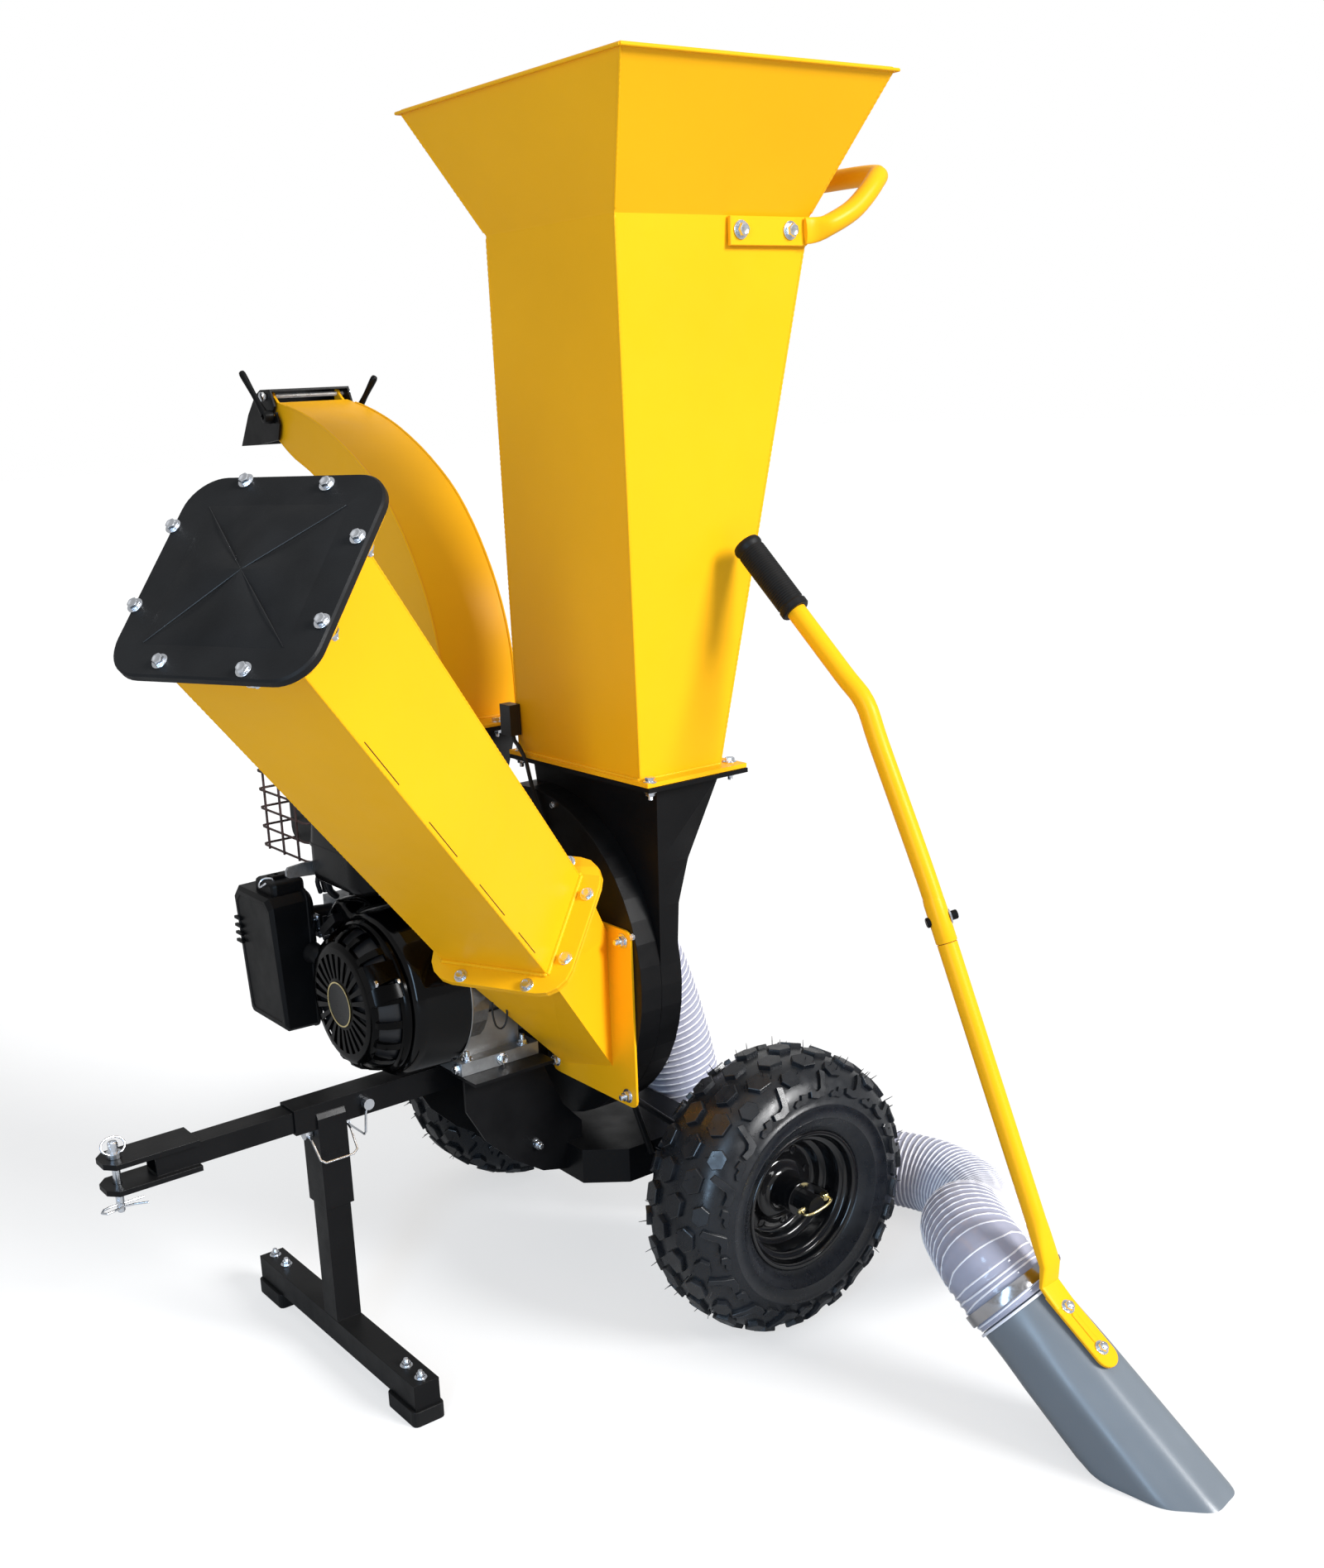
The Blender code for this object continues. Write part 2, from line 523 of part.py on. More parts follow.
# the sleeves end where they meet the drum's inside
drum_in = rod((DRUM_XM - 0.0030, 0, CRANK_Z), (DRUM_X1 - 0.0025, 0, CRANK_Z), DRUM_R - 0.0015, seg=48)
drum_in2 = rod((DRUM_XM - 0.0030, 0, CRANK_Z), (DRUM_X1 - 0.0025, 0, CRANK_Z), DRUM_R - 0.0015, seg=48)
neck = cut(neck, drum_in, box((-0.20, -0.30, 0.6838), (0.10, 0.10, 0.72)))
duct = cut(duct, drum_in2)
rear = union(rear, neck, duct)
# flanges under the hopper and the discharge chute
nf = plate([(-0.132, -0.228), (0.014, -0.228), (0.014, 0.050), (-0.132, 0.050)], 0.005, fr_z(0.6817),
           holes=[[(-0.1057, -0.2088), (-0.1057, 0.0308), (-0.0172, 0.0308), (-0.0172, -0.2088)]])
nf = cut(nf, box((-0.20, -0.30, 0.6842), (0.10, 0.10, 0.70)))
df = plate([(-0.160, 0.142), (-0.006, 0.142), (-0.006, 0.312), (-0.160, 0.312)], 0.005, fr_z(0.6972),
           holes=[[(DC_X0 + 0.0031, 0.1891), (DC_X0 + 0.0031, 0.2889), (DC_X1 - 0.0031, 0.2889), (DC_X1 - 0.0031, 0.1891)]])
rear = union(rear, nf, df)
finish(rear, "housing_rear", "black_paint")

# suction port for the hose, on the back plate
port = turned([(0.0680, 0.0), (0.0680, 0.0040), (0.0500, 0.0040), (0.0500, 0.0160), (0.0470, 0.0160), (0.0470, 0.0)],
              (DRUM_X1 + GAP, 0, CRANK_Z), X, 32)
finish(port, "hose_port", "black_paint")

# ================================================================ hopper
secs = [rect_xy(*HOP_BOTTOM), rect_xy(*HOP_BEND), rect_xy(*HOP_RIM)]
hopper = sleeve(secs, 0.0025)
hf = plate([(-0.132, -0.226), (0.014, -0.226), (0.014, 0.050), (-0.132, 0.050)], 0.005, fr_z(0.6872),
           holes=[[(-0.1243, -0.2042), (-0.1243, 0.0316), (-0.0132, 0.0316), (-0.0132, -0.2042)]])
cx, cy, hx, hy, hz = HOP_RIM
lip = plate([(cx - hx - 0.003, cy - hy - 0.003), (cx + hx + 0.003, cy - hy - 0.003), (cx + hx + 0.003, cy + hy + 0.003), (cx - hx - 0.003, cy + hy + 0.003)],
            0.003, fr_z(hz - 0.0015),
            holes=[[(cx - hx + 0.0022, cy - hy + 0.0022), (cx - hx + 0.0022, cy + hy - 0.0022), (cx + hx - 0.0022, cy + hy - 0.0022), (cx + hx - 0.0022, cy - hy + 0.0022)]])
hopper = union(hopper, hf, lip)
finish(hopper, "hopper", "yellow")

# U-handle round the back of the hopper
ny, fy = -0.2525, 0.0125
hp, _ = smooth([(0.062, ny, 1.266), (0.112, ny, 1.266), (0.160, ny - 0.001, 1.288), (0.196, ny + 0.004, 1.316), (0.213, ny + 0.026, 1.326),
                (0.216, -0.120, 1.328), (0.213, fy - 0.026, 1.326), (0.196, fy - 0.004, 1.316), (0.160, fy + 0.001, 1.288), (0.112, fy, 1.266), (0.062, fy, 1.266)], 0.026)
handle = wire(hp, 0.0115, 2)
for y in (-0.2412, 0.0008):
    handle = union(handle, plate([(-0.010, 1.2500), (0.098, 1.2500), (0.106, 1.2560), (0.106, 1.2790), (-0.010, 1.2790)], 0.0050, fr_y(y)))
finish(handle, "hopper_handle", "yellow")

# rubber flap inside the hopper, hung from its back wall
flap = plate([(0.0, -0.1105), (0.197, -0.1105), (0.197, 0.1030), (0.0, 0.1030)], 0.004,
             frame((0.0975, -0.1205, 1.2600), (-math.sin(math.radians(21)), 0, math.cos(math.radians(21))), (-1, 0, 0)))
finish(flap, "hopper_flap", "rubber")
on_axis(flap, (0.0975, -0.1205, 1.2600))

# ================================================================ discharge chute
OUTER = [(0.186, DC_Z), (0.187, 0.740), (0.190, 0.780), (0.200, 0.825), (0.217, 0.870), (0.240, 0.912), (0.268, 0.952),
         (0.303, 0.990), (0.345, 1.022), (0.395, 1.052), (0.455, 1.080), (0.520, 1.101), (0.585, 1.115)]
INNER = [(0.292, DC_Z), (0.294, 0.740), (0.299, 0.780), (0.308, 0.815), (0.322, 0.850), (0.341, 0.884), (0.364, 0.915),
         (0.392, 0.946), (0.426, 0.975), (0.462, 1.000), (0.503, 1.022), (0.556, 1.044), (0.612, 1.078)]
dsec = [[(DC_X0, yo, zo), (DC_X1, yo, zo), (DC_X1, yi, zi), (DC_X0, yi, zi)] for (yo, zo), (yi, zi) in zip(OUTER, INNER)]
chute = sleeve(dsec, 0.0025)
cf = plate([(-0.160, 0.142), (-0.006, 0.142), (-0.006, 0.312), (-0.160, 0.312)], 0.004, fr_z(0.7022),
           holes=[[(DC_X0 + 0.0022, 0.1885), (DC_X0 + 0.0022, 0.2898), (DC_X1 - 0.0022, 0.2898), (DC_X1 - 0.0022, 0.1885)]])
chute = union(chute, cf)
# ears for the deflector's rod
for x in (DC_X0 + 0.004, DC_X1 - 0.004):
    ear = plate([(0.585, 1.106), (0.585, 1.112), (0.6005, 1.1240)] + arc(DEFL_Y, DEFL_Z, 0.0061, 150, 0, 6) + [(0.6130, 1.112), (0.607, 1.106)], 0.004, fr_x(x))
    chute = union(chute, cut(ear, rod((x - 0.02, DEFL_Y, DEFL_Z), (x + 0.02, DEFL_Y, DEFL_Z), 0.0036, seg=12)))
# studs for the clamp levers
for x0, x1 in ((DC_X0 + 0.001, DC_X0 - 0.0155), (DC_X1 - 0.001, DC_X1 + 0.0155)):
    chute = union(chute, rod((x0, 0.590, 1.096), (x1, 0.590, 1.096), 0.0030, seg=12))
finish(chute, "discharge_chute", "yellow")

hinge = rod((-0.1520, DEFL_Y, DEFL_Z), (-0.0140, DEFL_Y, DEFL_Z), 0.0032, seg=12)
hinge = union(hinge, rod((-0.1530, DEFL_Y, DEFL_Z), (-0.1485, DEFL_Y, DEFL_Z), 0.0062, seg=6),
              rod((-0.0175, DEFL_Y, DEFL_Z), (-0.0130, DEFL_Y, DEFL_Z), 0.0062, seg=6))
finish(hinge, "deflector_rod", "zinc")

# deflector: folded hood with two cheeks, turning on the rod
dx0, dx1 = DC_X0 - 0.0060, DC_X1 + 0.0060
dw = dx1 - dx0 + 0.003
hood = [(0.588, 1.124), (0.592, 1.1335), (0.622, 1.1335), (0.640, 1.126), (0.668, 1.100), (0.700, 1.056), (0.640, 1.058), (0.578, 1.064), (0.570, 1.085)]
defl = plate(hood, dw, fr_x((dx0 + dx1) / 2))
defl = cut(defl, plate([(0.560, 1.1305), (0.6212, 1.1305), (0.6378, 1.1236), (0.6654, 1.0985), (0.6968, 1.0555), (0.705, 1.040), (0.560, 1.040)],
                       dw - 0.006, fr_x((dx0 + dx1) / 2)))
defl = cut(defl, rod((-0.2, DEFL_Y, DEFL_Z), (0.05, DEFL_Y, DEFL_Z), 0.0036, seg=12))
# curved slots round the rod, which the clamp studs run in
pts_o, pts_i = [], []
for k in range(9):
    a = math.radians(-158 + 66 * k / 8)
    pts_o.append((DEFL_Y + 0.0364 * math.cos(a), DEFL_Z + 0.0364 * math.sin(a)))
    pts_i.append((DEFL_Y + 0.0290 * math.cos(a), DEFL_Z + 0.0290 * math.sin(a)))
defl = cut(defl, plate(pts_o + pts_i[::-1], 0.3, fr_x((dx0 + dx1) / 2)))
finish(defl, "deflector", "black_paint")
on_axis(defl, (-0.083, DEFL_Y, DEFL_Z))

for nm, xs, tip in (("clamp_lever_near", -1, (0.632, 1.160)), ("clamp_lever_far", 1, (0.550, 1.145))):
    xa = DC_X0 - 0.0081 if xs < 0 else DC_X1 + 0.0081
    xb = xa + xs * 0.014
    lev = rod((xa, 0.590, 1.096), (xb, 0.590, 1.096), 0.0095, seg=16)
    d = Vector((xs * 0.012, tip[0] - 0.590, tip[1] - 1.096))
    p0 = Vector(((xa + xb) / 2 + xs * 0.002, 0.590, 1.096))
    lev = union(lev, rod(p0, p0 + d, 0.0065, 0.0050, seg=10))
    lev = cut(lev, rod((xa - xs * 0.002, 0.590, 1.096), (xa + xs * 0.0085, 0.590, 1.096), 0.0033, seg=12))
    finish(lev, nm, "black_plastic")
    on_axis(lev, ((xa + xb) / 2, 0.590, 1.096))

# ================================================================ chipper chute
cn = Vector((-math.cos(CH_PITCH) * math.cos(CH_YAW), -math.cos(CH_PITCH) * math.sin(CH_YAW), math.sin(CH_PITCH)))
e1 = Vector((math.sin(CH_YAW), -math.cos(CH_YAW), 0))
e2 = cn.cross(e1)
if e2.z < 0:
    e2 = -e2


def ch(a, b, t):
    return CH_FOOT + cn * t + e1 * a + e2 * b


def ch_frame(t, a=0.0, b=0.0):
    m = Matrix((e1, e2, e1.cross(e2))).transposed().to_4x4()
    m.translation = ch(a, b, t)
    return m


def quad(a0, a1, b0, b1, t):
    return [ch(a0, b0, t), ch(a1, b0, t), ch(a1, b1, t), ch(a0, b1, t)]


MOUTH = (-0.075, 0.075, -0.064, 0.077)
WAIST = (-0.068, 0.066, -0.068, 0.055)
up = sleeve([quad(*WAIST, CH_FLANGE + 0.0012), quad(*MOUTH, CH_LEN - 0.0010)], 0.0025)
up = cut(up, obox(ch_frame(CH_FLANGE - 0.0092), (0.3, 0.3, 0.02)), obox(ch_frame(CH_LEN + 0.0096), (0.3, 0.3, 0.02)))
fo = rounded(0.0885, 0.0855, 0.034, 4, 0.004, -0.0065)
hole = [(WAIST[0] + 0.0034, WAIST[2] + 0.0034), (WAIST[0] + 0.0034, WAIST[3] - 0.0034),
        (WAIST[1] - 0.0034, WAIST[3] - 0.0034), (WAIST[1] - 0.0034, WAIST[2] + 0.0034)]
up = union(up, plate(fo, 0.004, ch_frame(CH_FLANGE + 0.0023), holes=[hole]))
mo = rounded(0.1030, 0.1030, 0.032, 3, 0.0100, 0.0070)
mh = [(MOUTH[0] + 0.0034, MOUTH[2] + 0.0034), (MOUTH[0] + 0.0034, MOUTH[3] - 0.0034), (MOUTH[1] - 0.0034, MOUTH[3] - 0.0034), (MOUTH[1] - 0.0034, MOUTH[2] + 0.0034)]
up = union(up, plate(mo, 0.003, ch_frame(CH_LEN - 0.0015), holes=[mh]))
finish(up, "chipper_chute_upper", "yellow")

# lower chute: from the waist flange to the plate on the drum
px = DRUM_X0 - GAP
fx = px - 0.0012
foot_q = [Vector((fx, -0.048, 0.303)), Vector((fx, -0.150, 0.330)), Vector((fx, -0.150, 0.500)), Vector((fx, -0.048, 0.500))]
waist_q = quad(*WAIST, CH_FLANGE - 0.0012)
low = sleeve([foot_q, waist_q], 0.0025)
low = cut(low, box((px - 0.0006, -0.30, 0.20), (px + 0.030, 0.10, 0.60)), obox(ch_frame(CH_FLANGE + 0.0094), (0.3, 0.3, 0.02)))
low = union(low, plate(fo, 0.004, ch_frame(CH_FLANGE - 0.0023), holes=[hole]))
pl = plate(rounded(0.0860, 0.1110, 0.010, 3, -0.1100, 0.4005), 0.003, fr_x(DRUM_X0 - GAP - 0.0015),
           holes=[[(-0.0518, 0.3090), (-0.1462, 0.3340), (-0.1462, 0.4960), (-0.0518, 0.4960)]])
low = union(low, pl)
finish(low, "chipper_chute_lower", "yellow")

# thick rubber guard over the mouth, with a shallow four-sided point
guard = plate(rounded(0.1065, 0.1065, 0.036, 4, 0.0100, 0.0070), 0.0100, ch_frame(CH_LEN + 0.0053))
pyr = loft([[ch(a, b, CH_LEN + 0.0090) for a, b in ((-0.066, -0.068), (0.083, -0.068), (0.083, 0.080), (-0.066, 0.080))],
            [ch(a, b, CH_LEN + 0.0160) for a, b in ((0.0065, 0.004), (0.0105, 0.004), (0.0105, 0.008), (0.0065, 0.008))]])
guard = union(guard, pyr)
finish(guard, "rubber_guard", "rubber")

# ================================================================ engine
crank_case = union(box((-0.302, -0.066, ENG_BASE), (-0.1915, 0.072, 0.3525)),
                   rod((-0.2960, 0.004, 0.4330), (-0.2620, 0.004, 0.4330), 0.0780, seg=28),
                   rod((-0.2630, 0.010, 0.4330), (-0.2050, 0.010, 0.4330), 0.0640, seg=28),
                   box((-0.294, -0.048, 0.345), (-0.2075, 0.060, 0.400)),
                   rod((-0.2070, 0, CRANK_Z), (-0.176, 0, CRANK_Z), 0.0400, seg=24))
crank_case = cut(crank_case, rod((-0.35, 0, CRANK_Z), (-0.15, 0, CRANK_Z), 0.0130, seg=24))
crank_case = cut(crank_case, rod((-0.281, 0, CRANK_Z), (-0.213, 0, CRANK_Z), 0.050, seg=24))
# dipstick seat on the far side, under the cylinder
dip_o, dip_d = Vector((-0.226, 0.066, 0.372)), Vector((0, 0.90, 0.44)).normalized()
crank_case = union(crank_case, rod(dip_o - dip_d * 0.012, dip_o + dip_d * 0.008, 0.0125, seg=16))
crank_case = cut(crank_case, rod(dip_o - dip_d * 0.020, dip_o + dip_d * 0.02, 0.0080, seg=16))
finish(crank_case, "crankcase", "cast")
dip = union(rod(dip_o + dip_d * 0.0083, dip_o + dip_d * 0.020, 0.0130, seg=12), rod(dip_o - dip_d * 0.018, dip_o + dip_d * 0.009, 0.0055, seg=10))
finish(dip, "oil_dipstick", "black_plastic")
on_axis(dip, dip_o)

# cylinder leaning 25 degrees to the far side
cd = Vector((0, math.cos(math.radians(25)), math.sin(math.radians(25))))
c0 = Vector((-0.248, 0.0, CRANK_Z)) + cd * 0.094
cup = Vector((0, -cd.z, cd.y))
cf_ = Matrix((Vector((1, 0, 0)), cup, Vector((1, 0, 0)).cross(cup))).transposed().to_4x4()
m = cf_.copy()
m.translation = c0 + cd * 0.036
cyl = obox(m, (0.080, 0.078, 0.100))
for k in range(5):
    m = cf_.copy()
    m.translation = c0 + cd * (0.012 + 0.0125 * k)
    cyl = union(cyl, obox(m, (0.104, 0.100, 0.0035)))
m = cf_.copy()
m.translation = c0 + cd * 0.079
cyl = union(cyl, obox(m, (0.094, 0.090, 0.022)))
cyl = cut(cyl, rod((-0.306, 0.004, 0.4330), (-0.2617, 0.004, 0.4330), 0.0784, seg=28), rod((-0.2619, 0.010, 0.4330), (-0.19, 0.010, 0.4330), 0.0644, seg=28))
finish(cyl, "cylinder_head", "cast")

# blower housing with its scroll to the cylinder, open at the front
bl = arc(0.0, CRANK_Z, 0.1020, 64, 344, 18) + [(0.1060, 0.4480), (0.1130, 0.4700), (0.1120, 0.5100), (0.0900, 0.5420), (0.0600, 0.5450)]
blower = plate(bl, 0.072, fr_x(-0.3390))
inn = [(y * 0.965, CRANK_Z + (z - CRANK_Z) * 0.965) for y, z in bl]
blower = cut(blower, plate(inn, 0.072, fr_x(-0.3360)))
blower = cut(blower, rod((-0.40, 0, CRANK_Z), (-0.36, 0, CRANK_Z), 0.0800, seg=28))
finish(blower, "blower_housing", "black_gloss")

rc = turned([(0.0, -0.0450), (0.030, -0.0450), (0.070, -0.0430), (0.0800, -0.0380), (0.0860, -0.0200), (0.0900, -0.0004), (0.0820, -0.0004),
             (0.0800, -0.0190), (0.0740, -0.0350), (0.066, -0.0395), (0.030, -0.0415), (0.0, -0.0415)], (-0.3753, 0, CRANK_Z), X, 28, closed=False)
for k in range(8):
    a = 2 * math.pi * k / 8 + 0.13
    rc = cut(rc, obox(Matrix.Translation((-0.418, 0.050 * math.cos(a), CRANK_Z + 0.050 * math.sin(a))) @ Matrix.Rotation(a, 4, 'X'), (0.02, 0.030, 0.007)))
gd = Vector((0, 0.5736, 0.8192))
g0 = Vector((-0.394, 0, CRANK_Z)) + gd * 0.0880
rc = cut(rc, rod(g0 - gd * 0.020, g0 + gd * 0.010, 0.0045, seg=12))
finish(rc, "recoil_cover", "black_gloss")
# pull grip on its rope, seated on the recoil cover's rim
grip = union(rod(g0 - gd * 0.014, g0 + gd * 0.008, 0.0022, seg=8), obox(frame(g0 + gd * 0.0085, gd, gd.cross(X)), (0.046, 0.012, 0.010)))
finish(grip, "recoil_grip", "black_plastic")
on_axis(grip, g0)

tank = plate(rounded(0.0920, 0.0680, 0.022, 3, -0.312, 0.0260), 0.095, fr_z(0.6175))
tank = cut(tank, union(plate(rounded(0.0890, 0.0650, 0.020, 3, -0.312, 0.0260), 0.089, fr_z(0.6175)), rod((-0.300, 0.030, 0.65), (-0.300, 0.030, 0.68), 0.0180, seg=20)))
neckr = turned([(0.0180, 0.6630), (0.0225, 0.6630), (0.0225, 0.6720), (0.0180, 0.6720)], (-0.300, 0.030, 0), Z, 20)
tank = union(tank, neckr)
finish(tank, "fuel_tank", "black_gloss")
cap = turned([(0.0, 0.6900), (0.0250, 0.6900), (0.0285, 0.6860), (0.0285, 0.6690), (0.0232, 0.6690), (0.0232, 0.6745), (0.0, 0.6745)],
             (-0.300, 0.030, 0), Z, 20, closed=False)
finish(cap, "fuel_cap", "black_plastic")
on_axis(cap, (-0.300, 0.030, 0.680))

ac = plate(rounded(0.0525, 0.0860, 0.010, 2, 0.1730, 0.4590), 0.049, fr_x(-0.4165))
ac = union(ac, plate(rounded(0.0455, 0.0930, 0.012, 2, 0.1740, 0.4610), 0.0130, fr_x(-0.3865)))
ac = union(ac, plate(rounded(0.0260, 0.0120, 0.008, 3, 0.1600, 0.5480), 0.044, fr_x(-0.4080)))
ac = union(ac, rod((-0.385, 0.150, 0.500), (-0.3448, 0.150, 0.500), 0.017, seg=16))
finish(ac, "air_cleaner", "black_plastic")
carb = union(box((-0.3445, 0.128, 0.478), (-0.3035, 0.172, 0.522)), rod((-0.325, 0.150, 0.455), (-0.325, 0.150, 0.480), 0.018, seg=16))
finish(carb, "carburettor", "cast")

muf = plate(rounded(0.062, 0.050, 0.014, 3, 0.2010, 0.6270), 0.098, fr_x(-0.2860))
muf = union(muf, rod((-0.262, 0.170, 0.5600), (-0.262, 0.170, 0.5790), 0.012, seg=12))
finish(muf, "muffler", "black_paint")
# wire cage round it
gu = None
for k in range(5):
    z = 0.5760 + 0.0240 * k
    ring = wire([(-0.240, 0.1370, z), (-0.3735, 0.1370, z), (-0.3750, 0.1385, z), (-0.3750, 0.2635, z), (-0.3735, 0.2650, z), (-0.240, 0.2650, z)], 0.0015, 0)
    gu = ring if gu is None else union(gu, ring)
for x, y in ((-0.3768, 0.1600), (-0.3768, 0.2010), (-0.3768, 0.2420), (-0.2950, 0.2668), (-0.2950, 0.1352)):
    gu = union(gu, rod((x, y, 0.5740), (x, y, 0.6740), 0.0016, seg=6))
finish(gu, "muffler_guard", "black_paint")

# controls
thr = plate([(-0.420, 0.5730), (-0.320, 0.5660), (-0.312, 0.5690), (-0.312, 0.5810), (-0.320, 0.5840), (-0.400, 0.5880), (-0.421, 0.5860), (-0.424, 0.5820), (-0.424, 0.5760)], 0.004, fr_y(0.1030))
thr = union(thr, rod((-0.320, 0.1000, 0.5750), (-0.320, 0.1090, 0.5750), 0.006, seg=12))
finish(thr, "throttle_lever", "black_paint")
on_axis(thr, (-0.320, 0.103, 0.575))
chk = union(rod((-0.331, 0.1275, 0.515), (-0.331, 0.118, 0.515), 0.0040, seg=10), box((-0.334, 0.117, 0.5130), (-0.328, 0.1205, 0.5450)))
chk = cut(chk, box((-0.4, 0.12775, 0.50), (-0.3, 0.14, 0.53)))
finish(chk, "choke_lever", "black_plastic")
on_axis(chk, (-0.331, 0.122, 0.515))
sw = union(rod((-0.3753, 0.0880, 0.5120), (-0.3840, 0.0880, 0.5120), 0.0080, seg=16), box((-0.3885, 0.0860, 0.5025), (-0.3830, 0.0900, 0.5215)))
finish(sw, "engine_switch", "black_plastic")
on_axis(sw, (-0.380, 0.088, 0.512))

# crankshaft, flywheel fan, knife disc: they turn together
shaft = rod((-0.3900, 0, CRANK_Z), (-0.0930, 0, CRANK_Z), 0.0110, seg=20)
shaft = union(shaft, rod((-0.1700, 0, CRANK_Z), (-0.1380, 0, CRANK_Z), 0.0190, seg=20))
finish(shaft, "crankshaft", "steel")
on_axis(shaft, (-0.2, 0, CRANK_Z))
fly = turned([(0.0113, -0.3700), (0.076, -0.3620), (0.076, -0.3330), (0.070, -0.3250), (0.0113, -0.3250)], (0, 0, CRANK_Z), X, 32)
finish(fly, "flywheel_fan", "cast")
on_axis(fly, (-0.35, 0, CRANK_Z))
disc = turned([(0.0060, -0.1230), (0.170, -0.1230), (0.170, -0.1150), (0.0060, -0.1150)], (0, 0, CRANK_Z), X, 36)
for k in range(4):
    a = math.pi / 2 * k + 0.4
    mt = Matrix.Translation((-0.1032, 0.118 * math.cos(a), CRANK_Z + 0.118 * math.sin(a))) @ Matrix.Rotation(a, 4, 'X')
    disc = union(disc, obox(mt, (0.0250, 0.096, 0.006)))
disc = union(disc, rod((-0.1155, 0, CRANK_Z), (-0.0930, 0, CRANK_Z), 0.0230, seg=20))
disc = cut(disc, rod((-0.13, 0, CRANK_Z), (-0.09, 0, CRANK_Z), 0.0113, seg=20))
for k in range(2):
    a = math.pi * k + 1.2
    mt = Matrix.Translation((-0.1190, 0.110 * math.cos(a), CRANK_Z + 0.110 * math.sin(a))) @ Matrix.Rotation(a, 4, 'X')
    disc = cut(disc, obox(mt, (0.03, 0.090, 0.014)))
for k in range(2):
    mt = Matrix.Translation((0, 0, CRANK_Z)) @ Matrix.Rotation(math.pi * k + 1.2, 4, 'X') @ Matrix.Translation((-0.1248, 0.110, 0.0155))
    disc = union(disc, obox(mt, (0.0056, 0.092, 0.020)))
finish(disc, "knife_disc", "steel")
on_axis(disc, (-0.119, 0, CRANK_Z))
# ================================================================ hose, nozzle and wand
noz_mouth = Vector((0.0847, -0.7625, 0.0))
nd = Vector((-0.1295, 0.7469, 0.6522)).normalized()
NOZ_LEN = 0.2085
noz_top = noz_mouth + nd * NOZ_LEN
exit_x = DRUM_X1 + GAP + 0.0160 + 0.0006
hose_route = [(exit_x, 0.000, CRANK_Z), (exit_x + 0.0300, 0.000, CRANK_Z), (0.0020, 0.000, 0.4260), (0.0290, 0.000, 0.3860), (0.0500, -0.001, 0.3300), (0.0660, -0.004, 0.2700),
              (0.0800, -0.009, 0.2050), (0.1020, -0.018, 0.1400), (0.1400, -0.036, 0.0900), (0.1970, -0.066, 0.0620), (0.2620, -0.106, 0.0535), (0.3160, -0.160, 0.0533),
              (0.3420, -0.225, 0.0533), (0.3360, -0.290, 0.0535), (0.3040, -0.350, 0.0600), (0.2540, -0.402, 0.0800), (0.1990, -0.440, 0.1080), (0.1440, -0.470, 0.1430),
              (0.0930, -0.500, 0.1750)]
h1 = noz_top + nd * 0.0010
hose_route += [tuple(h1 + nd * 0.062 + Vector((0.006, 0.004, -0.002))), tuple(h1 + nd * 0.031), tuple(h1)]
hpts, hose_len = smooth(hose_route, 0.030)
hose = wire(hpts, HOSE_R, 3)
finish(hose, "vacuum_hose", "hose")

# nozzle: round collar, widening to a mouth cut level with the floor
na = nd.cross(X).normalized()
nb = na.cross(nd).normalized()


def nring(p, ra, rb, n=20, power=2.6):
    out = []
    for k in range(n):
        a = 2 * math.pi * k / n
        c, s = math.cos(a), math.sin(a)
        out.append(p + nb * ra * math.copysign(abs(c) ** (2 / power), c) + na * rb * math.copysign(abs(s) ** (2 / power), s))
    return out


NOZ = ((0.0, 0.0495, 2.0), (0.030, 0.0500, 2.0), (0.070, 0.0512, 2.15), (0.320, 0.0562, 2.15))
noz = loft([nring(noz_top - nd * t, r, r, power=p) for t, r, p in NOZ])
noz_in = loft([nring(noz_top - nd * (t if t else -0.002), r - 0.003, r - 0.003, power=p) for t, r, p in NOZ])
noz = cut(noz, noz_in)
noz = cut(noz, box((-0.4, -1.2, -0.4), (0.4, -0.4, 0.0)))
finish(noz, "hose_nozzle", "grey_plastic")

# worm-drive band round the hose's end
cb = turned([(HOSE_R + 0.0009, -0.007), (HOSE_R + 0.0023, -0.007), (HOSE_R + 0.0023, 0.007), (HOSE_R + 0.0009, 0.007)],
            tuple(noz_top + nd * 0.016), nd, 32)
scr = (noz_top + nd * 0.016) + (nb * 0.86 + na * -0.51).normalized() * (HOSE_R + 0.0062)
cb = union(cb, obox(frame(scr, nd, (nb * 0.51 + na * 0.86)), (0.026, 0.0100, 0.012)))
finish(cb, "hose_clamp_nozzle", "steel")
cb = turned([(HOSE_R + 0.0009, -0.007), (HOSE_R + 0.0023, -0.007), (HOSE_R + 0.0023, 0.007), (HOSE_R + 0.0009, 0.007)],
            (exit_x + 0.0100, 0, CRANK_Z), X, 32)
cb = union(cb, obox(Matrix.Translation((exit_x + 0.0100, 0, CRANK_Z + HOSE_R + 0.0062)), (0.012, 0.026, 0.010)))
finish(cb, "hose_clamp_port", "steel")

# wand: flattened foot on the nozzle, lower tube, upper tube with the bend, grip
lift = na if na.z > 0 else -na

def on_noz(t, h):
    """Point over the nozzle's back, t below its top and h above its skin."""
    return noz_top - nd * t + lift * (0.0502 + 0.0202 * t + h)


